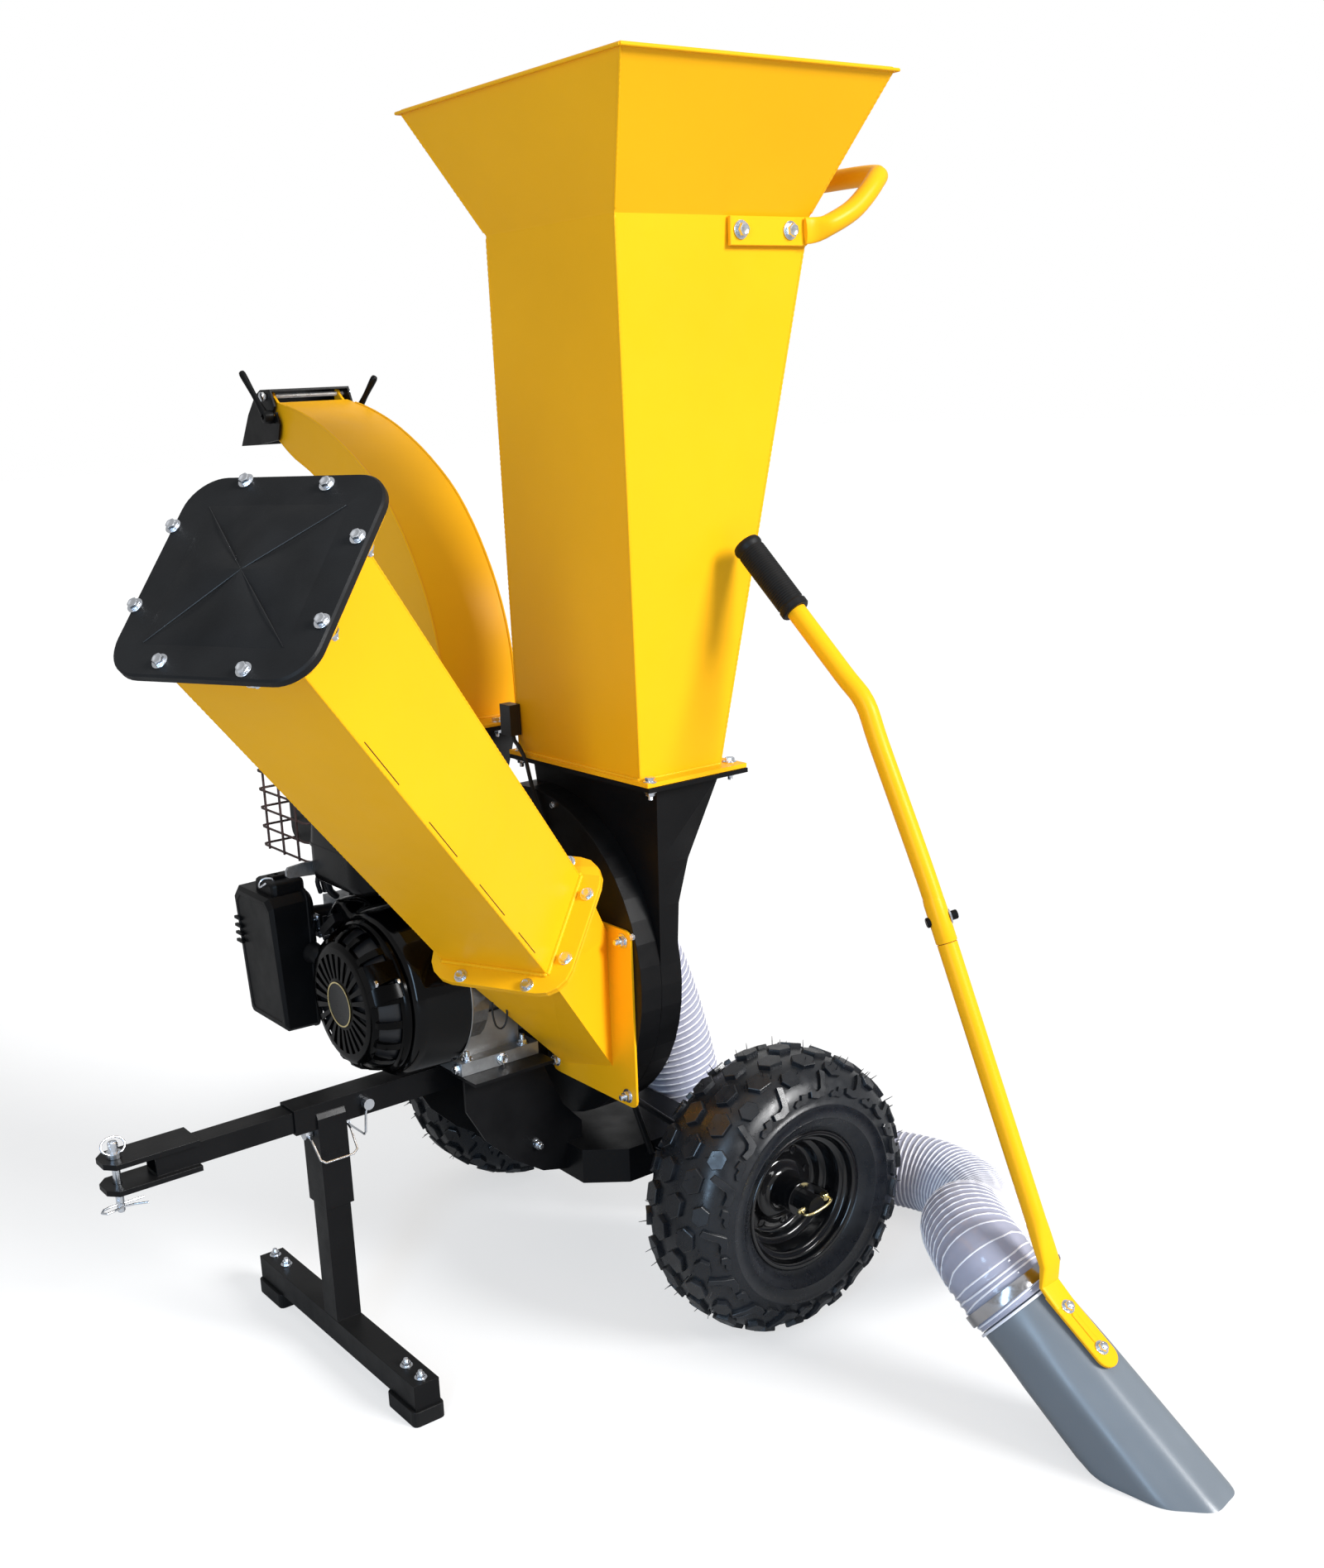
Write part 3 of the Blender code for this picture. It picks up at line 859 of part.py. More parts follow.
w_foot = on_noz(0.012, 0.0110)
w_joint, w_bend, w_grip0, w_grip1 = Vector((0.0419, -0.5033, 0.5450)), Vector((0.0275, -0.4020, 0.7790)), Vector((0.0142, -0.3113, 0.8715)), Vector((0.0030, -0.2440, 0.9410))
p_top, p_end = on_noz(0.004, 0.0044), on_noz(0.104, 0.0044)
pf = (p_end - p_top).normalized()
fside = pf.cross(lift).normalized()
foot = [(-0.0145, 0.0), (0.0145, 0.0)] + [(0.0145 * math.cos(a), (p_end - p_top).length - 0.0145 + 0.0145 * math.sin(a)) for a in [math.pi * k / 6 for k in range(7)]]
foot = plate(foot, 0.0050, frame(p_top, lift, fside))
low_t = wire(smooth([w_foot, w_foot + (w_joint - w_foot) * 0.06, w_foot + (w_joint - w_foot) * 0.5, w_joint - (w_joint - w_foot).normalized() * 0.014], 0.03)[0], WAND_R, 3)
low_w = union(low_t, foot)
finish(low_w, "wand_lower", "yellow")
jd = (w_joint - w_foot).normalized()
up_t = wire(smooth([w_joint - jd * 0.0137, w_joint + jd * 0.06, w_bend - (w_bend - w_joint).normalized() * 0.05, w_bend, w_bend + (w_grip0 - w_bend).normalized() * 0.04, w_grip0 + (w_bend - w_grip0).normalized() * 0.0005], 0.018)[0], WAND_R, 3)
finish(up_t, "wand_upper", "yellow")
gg = (w_grip1 - w_grip0).normalized()
gr = rod(w_grip0, w_grip1, 0.0165, seg=20)
finish(gr, "wand_grip", "rubber")

# lead of the hopper's safety switch, clipped along the neck
lead_pts, _ = smooth([(-0.1380, 0.032, 0.7160), (-0.1385, 0.028, 0.7060), (-0.1390, 0.016, 0.6980), (-0.1390, 0.004, 0.6830), (-0.1420, -0.008, 0.6620), (-0.1425, -0.020, 0.6350), (-0.1425, -0.034, 0.6050)], 0.012)
lead = wire(lead_pts, 0.0028, 1)
lead = union(lead, box((-0.1465, 0.022, 0.7120), (-0.1312, 0.044, 0.7500)))
finish(lead, "safety_switch", "rubber")
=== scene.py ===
import math
import bpy
import bmesh
from mathutils import Vector, Matrix


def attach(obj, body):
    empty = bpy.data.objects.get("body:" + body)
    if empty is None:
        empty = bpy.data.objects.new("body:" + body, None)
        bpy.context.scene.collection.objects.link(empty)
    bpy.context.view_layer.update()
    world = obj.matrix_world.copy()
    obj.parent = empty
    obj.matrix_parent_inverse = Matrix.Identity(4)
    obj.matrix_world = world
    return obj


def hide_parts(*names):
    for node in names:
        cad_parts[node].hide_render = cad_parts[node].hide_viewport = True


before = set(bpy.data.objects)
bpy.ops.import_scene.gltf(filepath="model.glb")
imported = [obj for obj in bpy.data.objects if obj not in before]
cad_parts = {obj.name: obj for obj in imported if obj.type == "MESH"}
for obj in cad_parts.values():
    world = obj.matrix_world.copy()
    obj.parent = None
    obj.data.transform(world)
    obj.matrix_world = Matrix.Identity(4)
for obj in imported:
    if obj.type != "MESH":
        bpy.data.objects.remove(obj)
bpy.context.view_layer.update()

# Lengths are in metres, in the machine's own frame (+Z up, +X away from the
# drawbar, origin on the floor under the axle); OFF takes them to the row frame.
OFF = Vector((0.25843, -0.11728, 0.0))
X, Y, Z = Vector((1, 0, 0)), Vector((0, 1, 0)), Vector((0, 0, 1))
CRANK_Z = 0.4415

# ================================================================ camera
cam_data = bpy.data.cameras.new("camera")
cam = bpy.data.objects.new("camera", cam_data)
bpy.context.scene.collection.objects.link(cam)
az, el, roll = math.radians(-35.3284), math.radians(16.5226), math.radians(-2.7914)
fwd = Vector((-math.sin(az) * math.cos(el), math.cos(az) * math.cos(el), -math.sin(el)))
right = fwd.cross(Z).normalized()
up = right.cross(fwd).normalized()
r2 = right * math.cos(roll) + up * math.sin(roll)
u2 = -right * math.sin(roll) + up * math.cos(roll)
m = Matrix((r2, u2, -fwd)).transposed().to_4x4()
m.translation = Vector((-1.2426, -1.6522, 1.1125)) + OFF
cam.matrix_world = m
cam_data.sensor_width = 36.0
cam_data.lens = 38.305
cam_data.shift_x = 0.0528
cam_data.shift_y = 0.0646
cam_data.clip_start, cam_data.clip_end = 0.05, 80.0
bpy.context.scene.camera = cam

# ================================================================ materials
def principled(name, base, rough, metal=0.0, spec=0.5, coat=0.0, coat_rough=0.1, alpha=1.0, transmission=0.0, ior=1.5,
               sheen=0.0, vary=0.06, scale=9.0, rough_vary=0.06, rough_scale=30.0, bump=0.0, bump_scale=900.0, bump_dist=0.0002,
               fleck=None, stretch=None, painted_top_light=0.0):
    """Base colour with slow drift, roughness with fine drift, and a surface grain."""
    mt = bpy.data.materials.new(name)
    mt.use_nodes = True
    nt = mt.node_tree
    n, lk = nt.nodes, nt.links
    p = n["Principled BSDF"]
    p.inputs["Metallic"].default_value = metal
    p.inputs["Specular IOR Level"].default_value = spec
    p.inputs["IOR"].default_value = ior
    p.inputs["Coat Weight"].default_value = coat
    p.inputs["Coat Roughness"].default_value = coat_rough
    p.inputs["Alpha"].default_value = alpha
    p.inputs["Transmission Weight"].default_value = transmission
    p.inputs["Sheen Weight"].default_value = sheen
    tc = n.new("ShaderNodeTexCoord")
    mp = n.new("ShaderNodeMapping")
    lk.new(tc.outputs["Object"], mp.inputs["Vector"])
    if stretch:
        mp.inputs["Scale"].default_value = stretch
    drift = n.new("ShaderNodeTexNoise")
    drift.inputs["Scale"].default_value = scale
    drift.inputs["Detail"].default_value = 4.0
    lk.new(mp.outputs["Vector"], drift.inputs["Vector"])
    ramp = n.new("ShaderNodeValToRGB")
    ramp.color_ramp.elements[0].position = 0.30
    ramp.color_ramp.elements[1].position = 0.70
    lo = [max(0.0, c * (1 - vary)) for c in base]
    hi = [min(1.0, c * (1 + vary)) for c in base]
    ramp.color_ramp.elements[0].color = (*lo, 1)
    ramp.color_ramp.elements[1].color = (*hi, 1)
    lk.new(drift.outputs["Fac"], ramp.inputs["Fac"])
    colour = ramp.outputs["Color"]
    if painted_top_light:
        # paler tone mixed in on faces that look up, broken by noise: painted top light, standing in for light from
        # above
        geo = n.new("ShaderNodeNewGeometry")
        sep = n.new("ShaderNodeSeparateXYZ")
        lk.new(geo.outputs["Normal"], sep.inputs["Vector"])
        film = n.new("ShaderNodeTexNoise")
        film.inputs["Scale"].default_value = 60.0
        film.inputs["Detail"].default_value = 6.0
        lk.new(tc.outputs["Object"], film.inputs["Vector"])
        mul = n.new("ShaderNodeMath")
        mul.operation = 'MULTIPLY'
        lk.new(sep.outputs["Z"], mul.inputs[0])
        lk.new(film.outputs["Fac"], mul.inputs[1])
        sc = n.new("ShaderNodeMath")
        sc.operation = 'MULTIPLY'
        sc.use_clamp = True
        sc.inputs[1].default_value = painted_top_light
        lk.new(mul.outputs[0], sc.inputs[0])
        mix = n.new("ShaderNodeMix")
        mix.data_type = 'RGBA'
        mix.inputs["B"].default_value = (0.30, 0.29, 0.27, 1)
        lk.new(sc.outputs[0], mix.inputs["Factor"])
        lk.new(colour, mix.inputs["A"])
        colour = mix.outputs["Result"]
    lk.new(colour, p.inputs["Base Color"])
    fine = n.new("ShaderNodeTexNoise")
    fine.inputs["Scale"].default_value = rough_scale
    fine.inputs["Detail"].default_value = 5.0
    lk.new(mp.outputs["Vector"], fine.inputs["Vector"])
    mr = n.new("ShaderNodeMapRange")
    mr.inputs["From Min"].default_value = 0.3
    mr.inputs["From Max"].default_value = 0.7
    mr.inputs["To Min"].default_value = max(0.03, rough - rough_vary)
    mr.inputs["To Max"].default_value = min(1.0, rough + rough_vary)
    lk.new(fine.outputs["Fac"], mr.inputs["Value"])
    lk.new(mr.outputs["Result"], p.inputs["Roughness"])
    if bump:
        grain = n.new("ShaderNodeTexNoise")
        grain.inputs["Scale"].default_value = bump_scale
        grain.inputs["Detail"].default_value = 2.0
        lk.new(mp.outputs["Vector"], grain.inputs["Vector"])
        bp = n.new("ShaderNodeBump")
        bp.inputs["Strength"].default_value = bump
        bp.inputs["Distance"].default_value = bump_dist
        lk.new(grain.outputs["Fac"], bp.inputs["Height"])
        lk.new(bp.outputs["Normal"], p.inputs["Normal"])
    return mt


YELLOW = principled("powder_coat_yellow", (0.900, 0.436, 0.0072), 0.35, spec=0.10, coat=0.01, coat_rough=0.20, vary=0.035, scale=5, bump=0.25, bump_scale=420, bump_dist=0.0003)
# BLACK, TYRE and RUBBER take painted top light: their upward faces are mixed towards a pale grey
BLACK = principled("powder_coat_black", (0.0040, 0.0040, 0.0044), 0.38, spec=0.15, vary=0.18, scale=14, rough_vary=0.08, bump=0.30, bump_scale=520, bump_dist=0.0003, painted_top_light=0.02)
GLOSS = principled("engine_gloss_black", (0.0007, 0.0007, 0.0008), 0.12, spec=0.20, coat=0.06, coat_rough=0.05, vary=0.15, rough_vary=0.04, bump=0.05, bump_scale=160, bump_dist=0.0004)
ENAMEL = principled("rim_enamel_black", (0.0040, 0.0040, 0.0045), 0.15, spec=0.45, coat=0.3, coat_rough=0.06, vary=0.15, rough_vary=0.05, bump=0.12, bump_scale=130, bump_dist=0.0004)
# tyre base: the black is the rubber's own colour, the blue tint is painted sheen standing in for cool reflection on its
# shoulder
TYRE = principled("tyre_rubber_black", (0.0050, 0.0064, 0.0092), 0.31, spec=0.50, vary=0.22, scale=30, rough_vary=0.10, rough_scale=80, bump=0.30, bump_scale=900, bump_dist=0.0003, painted_top_light=0.04)
RUBBER = principled("moulded_rubber_black", (0.0055, 0.0055, 0.0058), 0.50, spec=0.20, vary=0.2, scale=24, rough_vary=0.10, bump=0.40, bump_scale=700, bump_dist=0.0003, painted_top_light=0.02)
PLASTIC = principled("moulded_plastic_black", (0.0035, 0.0035, 0.0038), 0.40, spec=0.16, vary=0.15, scale=20, rough_vary=0.07, bump=0.45, bump_scale=1100, bump_dist=0.0002)
GREY = principled("nozzle_plastic_grey", (0.146, 0.168, 0.192), 0.34, spec=0.5, vary=0.05, scale=6, rough_vary=0.05, bump=0.12, bump_scale=300, bump_dist=0.0003)
ZINC = principled("zinc_plate", (0.74, 0.77, 0.82), 0.24, metal=1.0, vary=0.06, scale=90, rough_vary=0.04, rough_scale=120)
STEEL = principled("bare_steel", (0.58, 0.59, 0.61), 0.30, metal=1.0, vary=0.12, scale=60, rough_vary=0.08, rough_scale=220, bump=0.15, bump_scale=700, stretch=(1.0, 1.0, 1.0))
BAND = principled("stainless_band", (0.46, 0.46, 0.48), 0.20, metal=1.0, vary=0.08, scale=50, rough_vary=0.07, rough_scale=300, bump=0.12, bump_scale=800)
PASSIVATED = principled("yellow_passivate", (0.86, 0.72, 0.36), 0.28, metal=1.0, vary=0.12, scale=90, rough_vary=0.08, bump=0.1, bump_scale=700)
CAST = principled("cast_aluminium", (0.36, 0.37, 0.38), 0.42, metal=0.9, vary=0.10, scale=70, rough_vary=0.10, rough_scale=180, bump=0.6, bump_scale=520, bump_dist=0.0004)
RUST = principled("scorched_wire", (0.050, 0.026, 0.022), 0.55, spec=0.3, vary=0.35, scale=70, rough_vary=0.12, bump=0.3, bump_scale=500)
HOSE = principled("hose_clear_lilac", (0.43, 0.44, 0.55), 0.14, spec=0.60, alpha=0.70, vary=0.05, scale=14, rough_vary=0.06, bump=0.15, bump_scale=220, bump_dist=0.0004)
HELIX = principled("hose_helix_white", (0.78, 0.78, 0.84), 0.34, spec=0.5, vary=0.03, scale=20, rough_vary=0.05, bump=0.1, bump_scale=500)
# painted shade: dark strips laid where slots and open seams would show only shadow
GAP_SHADE = principled("painted_gap_shade", (0.030, 0.018, 0.004), 0.6, spec=0.2, vary=0.2)
BARE_FILM = principled("badge_film", (0.004, 0.004, 0.004), 0.24, spec=0.3, vary=0.1, rough_vary=0.05, bump=0.1, bump_scale=500)
BRIGHT = principled("polished_rod", (0.80, 0.80, 0.78), 0.30, metal=0.35, spec=0.6, vary=0.05, scale=60, rough_vary=0.05)
GUARD = principled("guard_rubber_black", (0.0105, 0.0105, 0.0108), 0.52, spec=0.14, vary=0.25, scale=16, rough_vary=0.12, rough_scale=24, bump=0.35, bump_scale=600, bump_dist=0.0003)
STARTER = principled("starter_gloss_black", (0.0005, 0.0005, 0.0006), 0.15, spec=0.12, vary=0.15, rough_vary=0.04, bump=0.05, bump_scale=160, bump_dist=0.0004)
TANK = principled("tank_black", (0.0018, 0.0018, 0.0020), 0.24, spec=0.16, vary=0.15, rough_vary=0.05, bump=0.05, bump_scale=160, bump_dist=0.0004)
CORD = principled("wire_sleeve_black", (0.010, 0.010, 0.011), 0.42, spec=0.4, vary=0.15, bump=0.2, bump_scale=600)

# ================================================================ mesh helpers
class Shape:
    """Collects vertices and faces in the machine's frame."""

    def __init__(self):
        self.v, self.f = [], []

    def add(self, verts, faces):
        b = len(self.v)
        self.v += [Vector(p) for p in verts]
        self.f += [[b + i for i in f] for f in faces]
        return b

    def rings(self, rings, closed=False, caps=True, loop=True):
        n = len(rings[0])
        verts = [p for r in rings for p in r]
        faces = []
        last = len(rings) if closed else len(rings) - 1
        for i in range(last):
            a, b = i * n, ((i + 1) % len(rings)) * n
            for k in range(n if loop else n - 1):
                k2 = (k + 1) % n
                faces.append([a + k, a + k2, b + k2, b + k])
        if caps and not closed:
            faces.append(list(range(n))[::-1])
            faces.append([(len(rings) - 1) * n + k for k in range(n)])
        self.add(verts, faces)

    def build(self, name, material, body="machine", angle=32, weld=0.0, bevel=0.0, subsurf=0, segments=2):
        mesh = bpy.data.meshes.new(name)
        mesh.from_pydata([p + OFF for p in self.v], [], self.f)
        bm = bmesh.new()
        bm.from_mesh(mesh)
        if weld:
            bmesh.ops.remove_doubles(bm, verts=bm.verts, dist=weld)
        bmesh.ops.recalc_face_normals(bm, faces=bm.faces)
        bm.to_mesh(mesh)
        bm.free()
        mesh.materials.append(material)
        mesh.shade_smooth()
        mesh.set_sharp_from_angle(angle=math.radians(angle))
        ob = bpy.data.objects.new(name, mesh)
        bpy.context.scene.collection.objects.link(ob)
        if bevel:
            md = ob.modifiers.new("edge", 'BEVEL')
            md.width = bevel
            md.segments = segments
            md.limit_method = 'ANGLE'
            md.angle_limit = math.radians(35)
            md.harden_normals = False
        if subsurf:
            md = ob.modifiers.new("round", 'SUBSURF')
            md.levels = md.render_levels = subsurf
        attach(ob, body)
        return ob


def basis(zdir, xdir=None):
    z = Vector(zdir).normalized()
    x = Vector(xdir) if xdir is not None else X
    if abs(x.normalized().dot(z)) > 0.98:
        x = Y
    y = z.cross(x).normalized()
    return y.cross(z).normalized(), y, z


def lathe(s, prof, origin, axis, seg=48, closed=False, caps=True, xdir=None):
    """Profile of (radius, height); closed joins the last point to the first."""
    x, y, z = basis(axis, xdir)
    o = Vector(origin)
    rings = [[o + z * h + (x * math.cos(2 * math.pi * k / seg) + y * math.sin(2 * math.pi * k / seg)) * r for k in range(seg)] for r, h in prof]
    s.rings(rings, closed=closed, caps=caps)


def smooth(points, spacing):
    """Points at even spacing on a Catmull-Rom curve through the given ones."""
    P = [Vector(p) for p in points]
    P = [2 * P[0] - P[1]] + P + [2 * P[-1] - P[-2]]
    dense = []
    for i in range(1, len(P) - 2):
        a, b, c, d = P[i - 1], P[i], P[i + 1], P[i + 2]
        for k in range(24):
            t = k / 24
            dense.append(0.5 * ((2 * b) + (c - a) * t + (2 * a - 5 * b + 4 * c - d) * t * t
                                + (3 * b - a - 3 * c + d) * t ** 3))
    dense.append(P[-2])
    length = sum((q - p).length for p, q in zip(dense[:-1], dense[1:]))
    n = max(2, round(length / spacing))
    step, out, acc = length / n, [dense[0]], 0.0
    for p, q in zip(dense[:-1], dense[1:]):
        seg = (q - p).length
        while acc + seg >= step * len(out) - 1e-9 and len(out) < n:
            out.append(p + (q - p) * ((step * len(out) - acc) / seg))
        acc += seg
    out.append(dense[-1])
    return out, length


def transport(pts):
    """Tangent and two turning-free side directions at each point."""
    out, side = [], None
    for i, p in enumerate(pts):
        t = (pts[min(i + 1, len(pts) - 1)] - pts[max(i - 1, 0)]).normalized()
        if side is None:
            side = basis(t)[0]
        side = (side - t * side.dot(t)).normalized()
        out.append((t, side, t.cross(side)))
    return out


def tube(s, pts, r, seg=14, caps=True, flat=None):
    """Round rod through points; r is one radius or one for each point."""
    pts = [Vector(p) for p in pts]
    rings = []
    for i, (p, (t, a, b)) in enumerate(zip(pts, transport(pts))):
        ri = r[i] if isinstance(r, (list, tuple)) else r
        rings.append([p + (a * math.cos(2 * math.pi * k / seg) + b * math.sin(2 * math.pi * k / seg)) * ri for k in range(seg)])
    s.rings(rings, caps=caps)


def slab(s, outline, thick, o, xd, yd, edge=0.0006, holes=False):
    """Flat plate with chamfered edges: outline on the plane through o, grown along its normal."""
    o, xd, yd = Vector(o), Vector(xd).normalized(), Vector(yd).normalized()
    nn = xd.cross(yd)
    n = len(outline)
    cx, cy = sum(p[0] for p in outline) / n, sum(p[1] for p in outline) / n

    def ring(shrink, h):
        out = []
        for i in range(n):
            a, b, c = outline[i - 1], outline[i], outline[(i + 1) % n]
            e1, e2 = Vector((b[0] - a[0], b[1] - a[1])), Vector((c[0] - b[0], c[1] - b[1]))
            n1, n2 = Vector((e1.y, -e1.x)).normalized(), Vector((e2.y, -e2.x)).normalized()
            d = (n1 + n2)
            d = d / max(0.25, d.length_squared / 2) if d.length > 1e-6 else n1
            area = sum(outline[j][0] * outline[(j + 1) % n][1] - outline[(j + 1) % n][0] * outline[j][1] for j in range(n))
            sg = 1 if area > 0 else -1
            x, y = b[0] - sg * d.x * shrink, b[1] - sg * d.y * shrink
            out.append(o + xd * x + yd * y + nn * h)
        return out

    s.rings([ring(edge, 0), ring(0, edge), ring(0, thick - edge), ring(edge, thick)])


def rounded(hx, hy, r, n=6, cx=0.0, cy=0.0):
    out = []
    for sx, sy, a0 in ((1, 1, 0), (-1, 1, 90), (-1, -1, 180), (1, -1, 270)):
        for k in range(n + 1):
            a = math.radians(a0 + 90 * k / n)
            out.append((cx + sx * (hx - r) + r * math.cos(a), cy + sy * (hy - r) + r * math.sin(a)))
    return out


def block(s, lo, hi, edge=0.0008):
    lo, hi = Vector(lo), Vector(hi)
    c, h = (lo + hi) / 2, (hi - lo) / 2
    slab(s, [(-h.x, -h.y), (h.x, -h.y), (h.x, h.y), (-h.x, h.y)], hi.z - lo.z, (c.x, c.y, lo.z), X, Y, edge)


def bolt(s, p, n, size=1.0, washer=True, stud=0.0, turn=0.3):
    """Hex flange bolt, or a nut with its stud end, standing on p along n."""
    p, n = Vector(p), Vector(n).normalized()
    k = 0.0010 * size
    h = -0.0004
    if washer:
        lathe(s, [(0.0, h), (9.0 * k, h), (9.3 * k, 0.3 * k), (9.3 * k, 1.1 * k), (9.0 * k, 1.4 * k), (0.0, 1.4 * k)], p, n, 28, caps=False)
        h = 1.2 * k
    lathe(s, [(0.0, h), (6.0 * k, h), (6.0 * k, h + 0.9 * k), (0.0, h + 0.9 * k)], p, n, 24, caps=False)
    x, y, z = basis(n)
    hexa = []
    for j, (rr, hh) in enumerate(((6.7, 0.7), (6.7, 4.7), (6.1, 5.4), (4.6, 5.5), (4.2, 5.3), (0.6, 5.3))):
        ring = []
        for i in range(24):
            a = 2 * math.pi * i / 24 + turn
            # straight flats between six corners
            flat = math.cos(math.pi / 6) / math.cos(((a - turn) % (math.pi / 3)) - math.pi / 6)
            r = rr * (flat if j < 2 else (min(1.0, flat * 1.06) if j == 2 else 1.0)) * k
            ring.append(p + z * (h + hh * k) + (x * math.cos(a) + y * math.sin(a)) * r)
        hexa.append(ring)
    s.rings(hexa)
    if stud:
        top = h + 5.5 * k
        lathe(s, [(0.0, top - k), (3.7 * k, top - k)] + [((3.7 if i % 2 else 3.4) * k, top + stud * i / 8) for i in range(8)] + [(2.8 * k, top + stud), (0.0, top + stud)], p, n, 16, caps=False)


def weld_bead(s, p, q, r=0.0022, pitch=0.005, n=None):
    """Rippled bead of weld under the paint, along a straight joint."""
    p, q = Vector(p), Vector(q)
    length = (q - p).length
    cnt = max(6, int(length / pitch) * 4)
    pts = [p + (q - p) * i / cnt for i in range(cnt + 1)]
    rad = [r * (0.86 + 0.14 * abs(math.sin(math.pi * i / 4)) + 0.05 * math.sin(i * 1.7)) for i in range(cnt + 1)]
    rad[0] = rad[-1] = r * 0.5
    tube(s, pts, rad, 10)


# ================================================================ hose
HOSE_R, HOSE_D = 0.0525, 0.105
exit_x = -0.079 + 0.0003 + 0.0160 + 0.0006
nd = Vector((-0.1295, 0.7469, 0.6522)).normalized()
noz_mouth = Vector((0.0847, -0.7625, 0.0))
noz_top = noz_mouth + nd * 0.2085
route = [(exit_x, 0.000, CRANK_Z), (exit_x + 0.0300, 0.000, CRANK_Z), (0.0020, 0.000, 0.4260), (0.0290, 0.000, 0.3860), (0.0500, -0.001, 0.3300), (0.0660, -0.004, 0.2700),
         (0.0800, -0.009, 0.2050), (0.1020, -0.018, 0.1400), (0.1400, -0.036, 0.0900), (0.1970, -0.066, 0.0620), (0.2620, -0.106, 0.0535), (0.3160, -0.160, 0.0533),
         (0.3420, -0.225, 0.0533), (0.3360, -0.290, 0.0535), (0.3040, -0.350, 0.0600), (0.2540, -0.402, 0.0800), (0.1990, -0.440, 0.1080), (0.1440, -0.470, 0.1430),
         (0.0930, -0.500, 0.1750)]
h1 = noz_top + nd * 0.0010
route += [tuple(h1 + nd * 0.062 + Vector((0.006, 0.004, -0.002))), tuple(h1 + nd * 0.031), tuple(h1)]
PITCH = 0.0090
fine, hose_len = smooth(route, PITCH / 4)
fr = transport(fine)
step = hose_len / (len(fine) - 1)
turns = hose_len / PITCH
SEG = 36


def hose_radius(s_along, ang):
    """Film drawn in between the turns of its helix."""
    ph = s_along / PITCH - ang / (2 * math.pi)
    return 0.0514 - 0.0014 * (math.sin(math.pi * ph) ** 2)


wall = Shape()
outer, inner = [], []
for i, (p, (t, a, b)) in enumerate(zip(fine, fr)):
    ro, ri = [], []
    for k in range(SEG):
        g = 2 * math.pi * k / SEG
        d = a * math.cos(g) + b * math.sin(g)
        ro.append(p + d * hose_radius(i * step, g))
    outer.append(ro)
wall.rings(outer, caps=False)
# thin wall closed at both ends
n0 = len(outer[0])
inner = [[p + (v - p) * (1 - 0.0009 / 0.051) for v in r] for p, r in zip(fine, outer)]
wall.rings(inner + [], caps=False)
nr = len(outer)
for e in (0, nr - 1):
    for k in range(SEG):
        k2 = (k + 1) % SEG
        wall.f.append([e * SEG + k, e * SEG + k2, nr * SEG + e * SEG + k2, nr * SEG + e * SEG + k])
hose = wall.build("hose_film", HOSE, "machine", angle=60)
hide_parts("vacuum_hose")

coil = Shape()
steps = int(turns * 22)
cp, cr = [], []
for j in range(steps + 1):
    s_al = hose_len * j / steps
    f = s_al / step
    i = min(int(f), len(fine) - 2)
    w = f - i
    p = fine[i].lerp(fine[i + 1], w)
    t, a, b = fr[i]
    g = 2 * math.pi * (s_al / PITCH)
    cp.append(p + (a * math.cos(g) + b * math.sin(g)) * 0.0509)
tube(coil, cp, 0.0013, 6)
helix = coil.build("hose_helix", HELIX, "machine", angle=80)

# ================================================================ nozzle
na = nd.cross(X).normalized()
nb = na.cross(nd).normalized()
lift = na if na.z > 0 else -na
NOZ = ((0.0, 0.0495, 2.0), (0.030, 0.0500, 2.0), (0.070, 0.0512, 2.15), (0.320, 0.0562, 2.15))


def noz_radius(t, off):
    for (t0, r0, p0), (t1, r1, p1) in zip(NOZ[:-1], NOZ[1:]):
        if t <= t1:
            w = (t - t0) / (t1 - t0)
            return r0 + (r1 - r0) * w - off, p0 + (p1 - p0) * w
    return NOZ[-1][1] - off, NOZ[-1][2]


def noz_point(t, ang, off):
    r, pw = noz_radius(t, off)
    w = min(1.0, max(0.0, (t - 0.012) / 0.075))
    r *= 1 + 0.021 * w * w * (3 - 2 * w) * (math.cos(8 * (ang + 0.26)) - 0.6)
    c, s = math.cos(ang), math.sin(ang)
    return (noz_top - nd * t + nb * r * math.copysign(abs(c) ** (2 / pw), c) + na * r * math.copysign(abs(s) ** (2 / pw), s))


def noz_end(ang, off):
    """How far down the nozzle its wall meets the floor level."""
    lo_t, hi_t = 0.02, 0.319
    for _ in range(40):
        mid = (lo_t + hi_t) / 2
        if noz_point(mid, ang, off).z > 0.0:
            lo_t = mid
        else:
            hi_t = mid
    return lo_t


